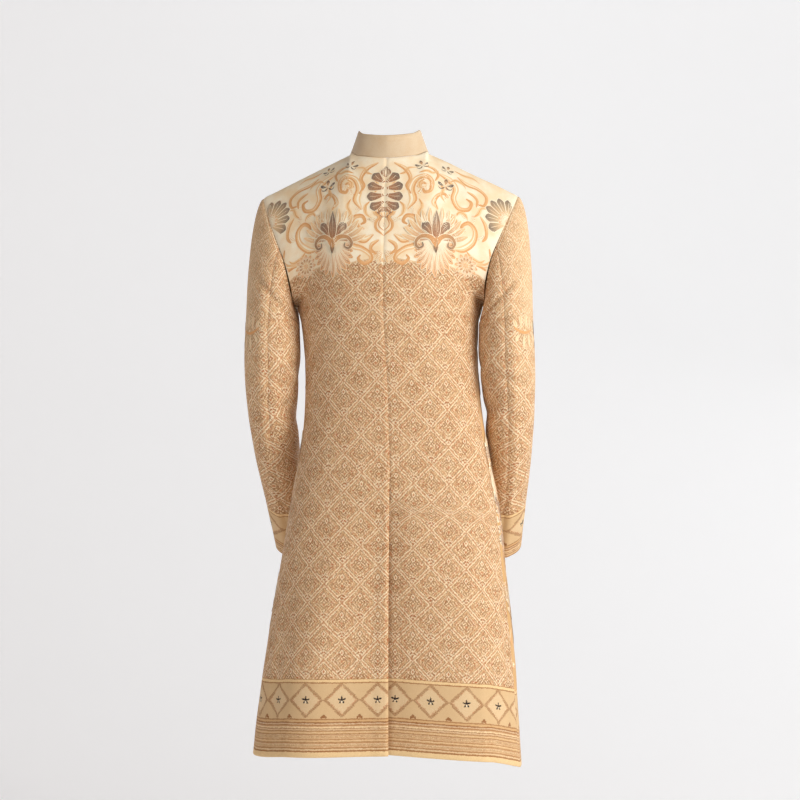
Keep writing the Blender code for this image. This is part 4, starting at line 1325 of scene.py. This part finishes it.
build = Build("button_dome", BUTTON_SIZES)
radius, tall = build.given("Radius"), build.given("Dome Height")
ball = build.node("GeometryNodeMeshUVSphere", {}, 28, 16, radius)
place = build.node("GeometryNodeInputPosition", {})
parts = build.tree.nodes.new("ShaderNodeSeparateXYZ")
build.tree.links.new(place, parts.inputs[0])
domed = build.maths("MULTIPLY", build.maths("MAXIMUM", parts.outputs[2], 0.0), build.maths("DIVIDE", tall, radius))
flattened = build.maths("ADD", domed, build.maths("MULTIPLY", build.maths("MINIMUM", parts.outputs[2], 0.0), 0.04))
placed = build.node("ShaderNodeCombineXYZ", {}, parts.outputs[0], parts.outputs[1], flattened)
dome = build.node("GeometryNodeSetPosition", {}, ball, Position=placed)
circle = build.node("GeometryNodeMeshCircle", {}, build.given("Bead Count"), build.maths("MULTIPLY", radius, 0.99))
bead = build.node("GeometryNodeMeshIcoSphere", {}, build.given("Bead Radius"), 2)
beads = build.node("GeometryNodeInstanceOnPoints", {}, circle, Instance=bead)
boss = build.node("GeometryNodeMeshIcoSphere", {}, build.maths("MULTIPLY", radius, 0.22), 3)
lifted = build.node("ShaderNodeCombineXYZ", {}, 0.0, 0.0, build.maths("MULTIPLY", tall, 0.96))
boss = build.node("GeometryNodeTransform", {}, boss, Translation=lifted)
join = build.tree.nodes.new("GeometryNodeJoinGeometry")
for part in (boss, beads, dome):
    build.tree.links.new(part, join.inputs[0])
way = build.node("GeometryNodeInputNamedAttribute", {"data_type": "FLOAT_VECTOR"}, "facing")
turned = build.node("FunctionNodeAlignRotationToVector", {"axis": "Z"}, Vector=way)
row = build.node(
    "GeometryNodeInstanceOnPoints", {}, build.given("Geometry"), Instance=join.outputs[0], Rotation=turned
)
buttons = build.grown("buttons", seats + seat_facing * 0.0003, seat_facing, [], row, button_finish())
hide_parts(*[f"button_{number + 1}" for number in range(BUTTON_COUNT)])
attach(buttons, "root")

for (panel, side), (shift, cut, area) in BODY.items():
    name = f"{panel}_{side}"
for side in ("left", "right"):
    for half, (first, last, cut, area) in SLEEVE.items():
        name = f"{half}_{side}"
        on_it = [worked[name]] if name in worked else []

# ==== Studio ====================================================================================
# A pale seamless floor that curves up into walls all round, broad soft lights, and a camera level
# with the waist behind the coat.

FLOOR, WALL, BEND, GLOW = -1.47, 5.2, 3.4, 0.475


def studio_finish():
    finish = Finish("studio_floor", emission_strength=GLOW)
    place = finish.node("ShaderNodeTexCoord", {}, out=3)
    x, y = finish.node("ShaderNodeSeparateXYZ", {}, place, out=(0, 1))
    tone = finish.noise(place, 0.6)
    # It glows most on the side the back of the coat is seen against, and least on the wearer's left.
    share = 0.65 - y * 0.067 - x * 0.066
    finish.join(finish.mix(share, dye(112, 72, 36), dye(255, 255, 255)), finish.shader.inputs["Emission Color"])
    return finish.shade(finish.mix(tone, dye(205, 206, 208), dye(209, 210, 212)), 0.9, tone, 0.0001)


outline = [(0.0, 0.0), (WALL - BEND, 0.0)]
bend = np.linspace(0, np.pi / 2, 24)
outline += [(WALL - BEND + BEND * np.sin(a), BEND - BEND * np.cos(a)) for a in bend[1:]]
outline += [(WALL, 6.0)]
floor_mesh = bpy.data.meshes.new("studio_floor")
spokes, rings = 96, len(outline)
angles = np.linspace(0, 2 * np.pi, spokes, endpoint=False)
floor_points = [(0.0, 0.0, FLOOR)]
floor_points += [(r * np.cos(a), r * np.sin(a), FLOOR + z) for r, z in outline[1:] for a in angles]
floor_faces = [(0, 1 + k, 1 + (k + 1) % spokes) for k in range(spokes)]
for ring in range(rings - 2):
    low, high = 1 + ring * spokes, 1 + (ring + 1) * spokes
    floor_faces += [
        (low + k, high + k, high + (k + 1) % spokes, low + (k + 1) % spokes) for k in range(spokes)
    ]
floor_mesh.from_pydata(floor_points, [], floor_faces)
floor_mesh.shade_smooth()
floor_mesh.materials.append(studio_finish())
floor = bpy.data.objects.new("studio_floor", floor_mesh)
bpy.context.scene.collection.objects.link(floor)

world = bpy.data.worlds.new("studio_air")
world.use_nodes = True
world.node_tree.nodes["Background"].inputs["Color"].default_value = (0.95, 0.97, 1.0, 1.0)
world.node_tree.nodes["Background"].inputs["Strength"].default_value = 0.05
bpy.context.scene.world = world

Lamp = namedtuple("Lamp", "name place size power colour")
LAMPS = (
    Lamp("key", (-3.1, 2.3, 1.3), 1.6, 126, (1.0, 0.985, 0.955)),
    Lamp("front", (-1.6, -3.2, 1.2), 2.0, 12, (1.0, 1.0, 1.0)),
)
for lamp in LAMPS:
    light = bpy.data.lights.new(lamp.name, "AREA")
    light.size, light.energy, light.color = lamp.size, lamp.power, lamp.colour
    stand = bpy.data.objects.new(lamp.name, light)
    stand.location = lamp.place
    stand.rotation_euler = (Vector((0, 0, -0.5)) - stand.location).to_track_quat("-Z", "Y").to_euler()
    bpy.context.scene.collection.objects.link(stand)

AZIMUTH, DISTANCE, EYE_HEIGHT = 185.5, 3.81, -0.43
LENS, SIDE_SHIFT = 95.14, 0.0125
behind = np.array([np.sin(np.radians(AZIMUTH)), -np.cos(np.radians(AZIMUTH)), 0])
camera_data = bpy.data.cameras.new("camera")
camera_data.lens, camera_data.sensor_width, camera_data.shift_x = LENS, 36, SIDE_SHIFT
camera = bpy.data.objects.new("camera", camera_data)
camera.location = Vector(behind * DISTANCE) + Vector((0, 0, EYE_HEIGHT))
camera.rotation_euler = Vector(-behind).to_track_quat("-Z", "Y").to_euler()
bpy.context.scene.collection.objects.link(camera)
bpy.context.scene.camera = camera
bpy.context.scene.view_settings.view_transform = "Standard"
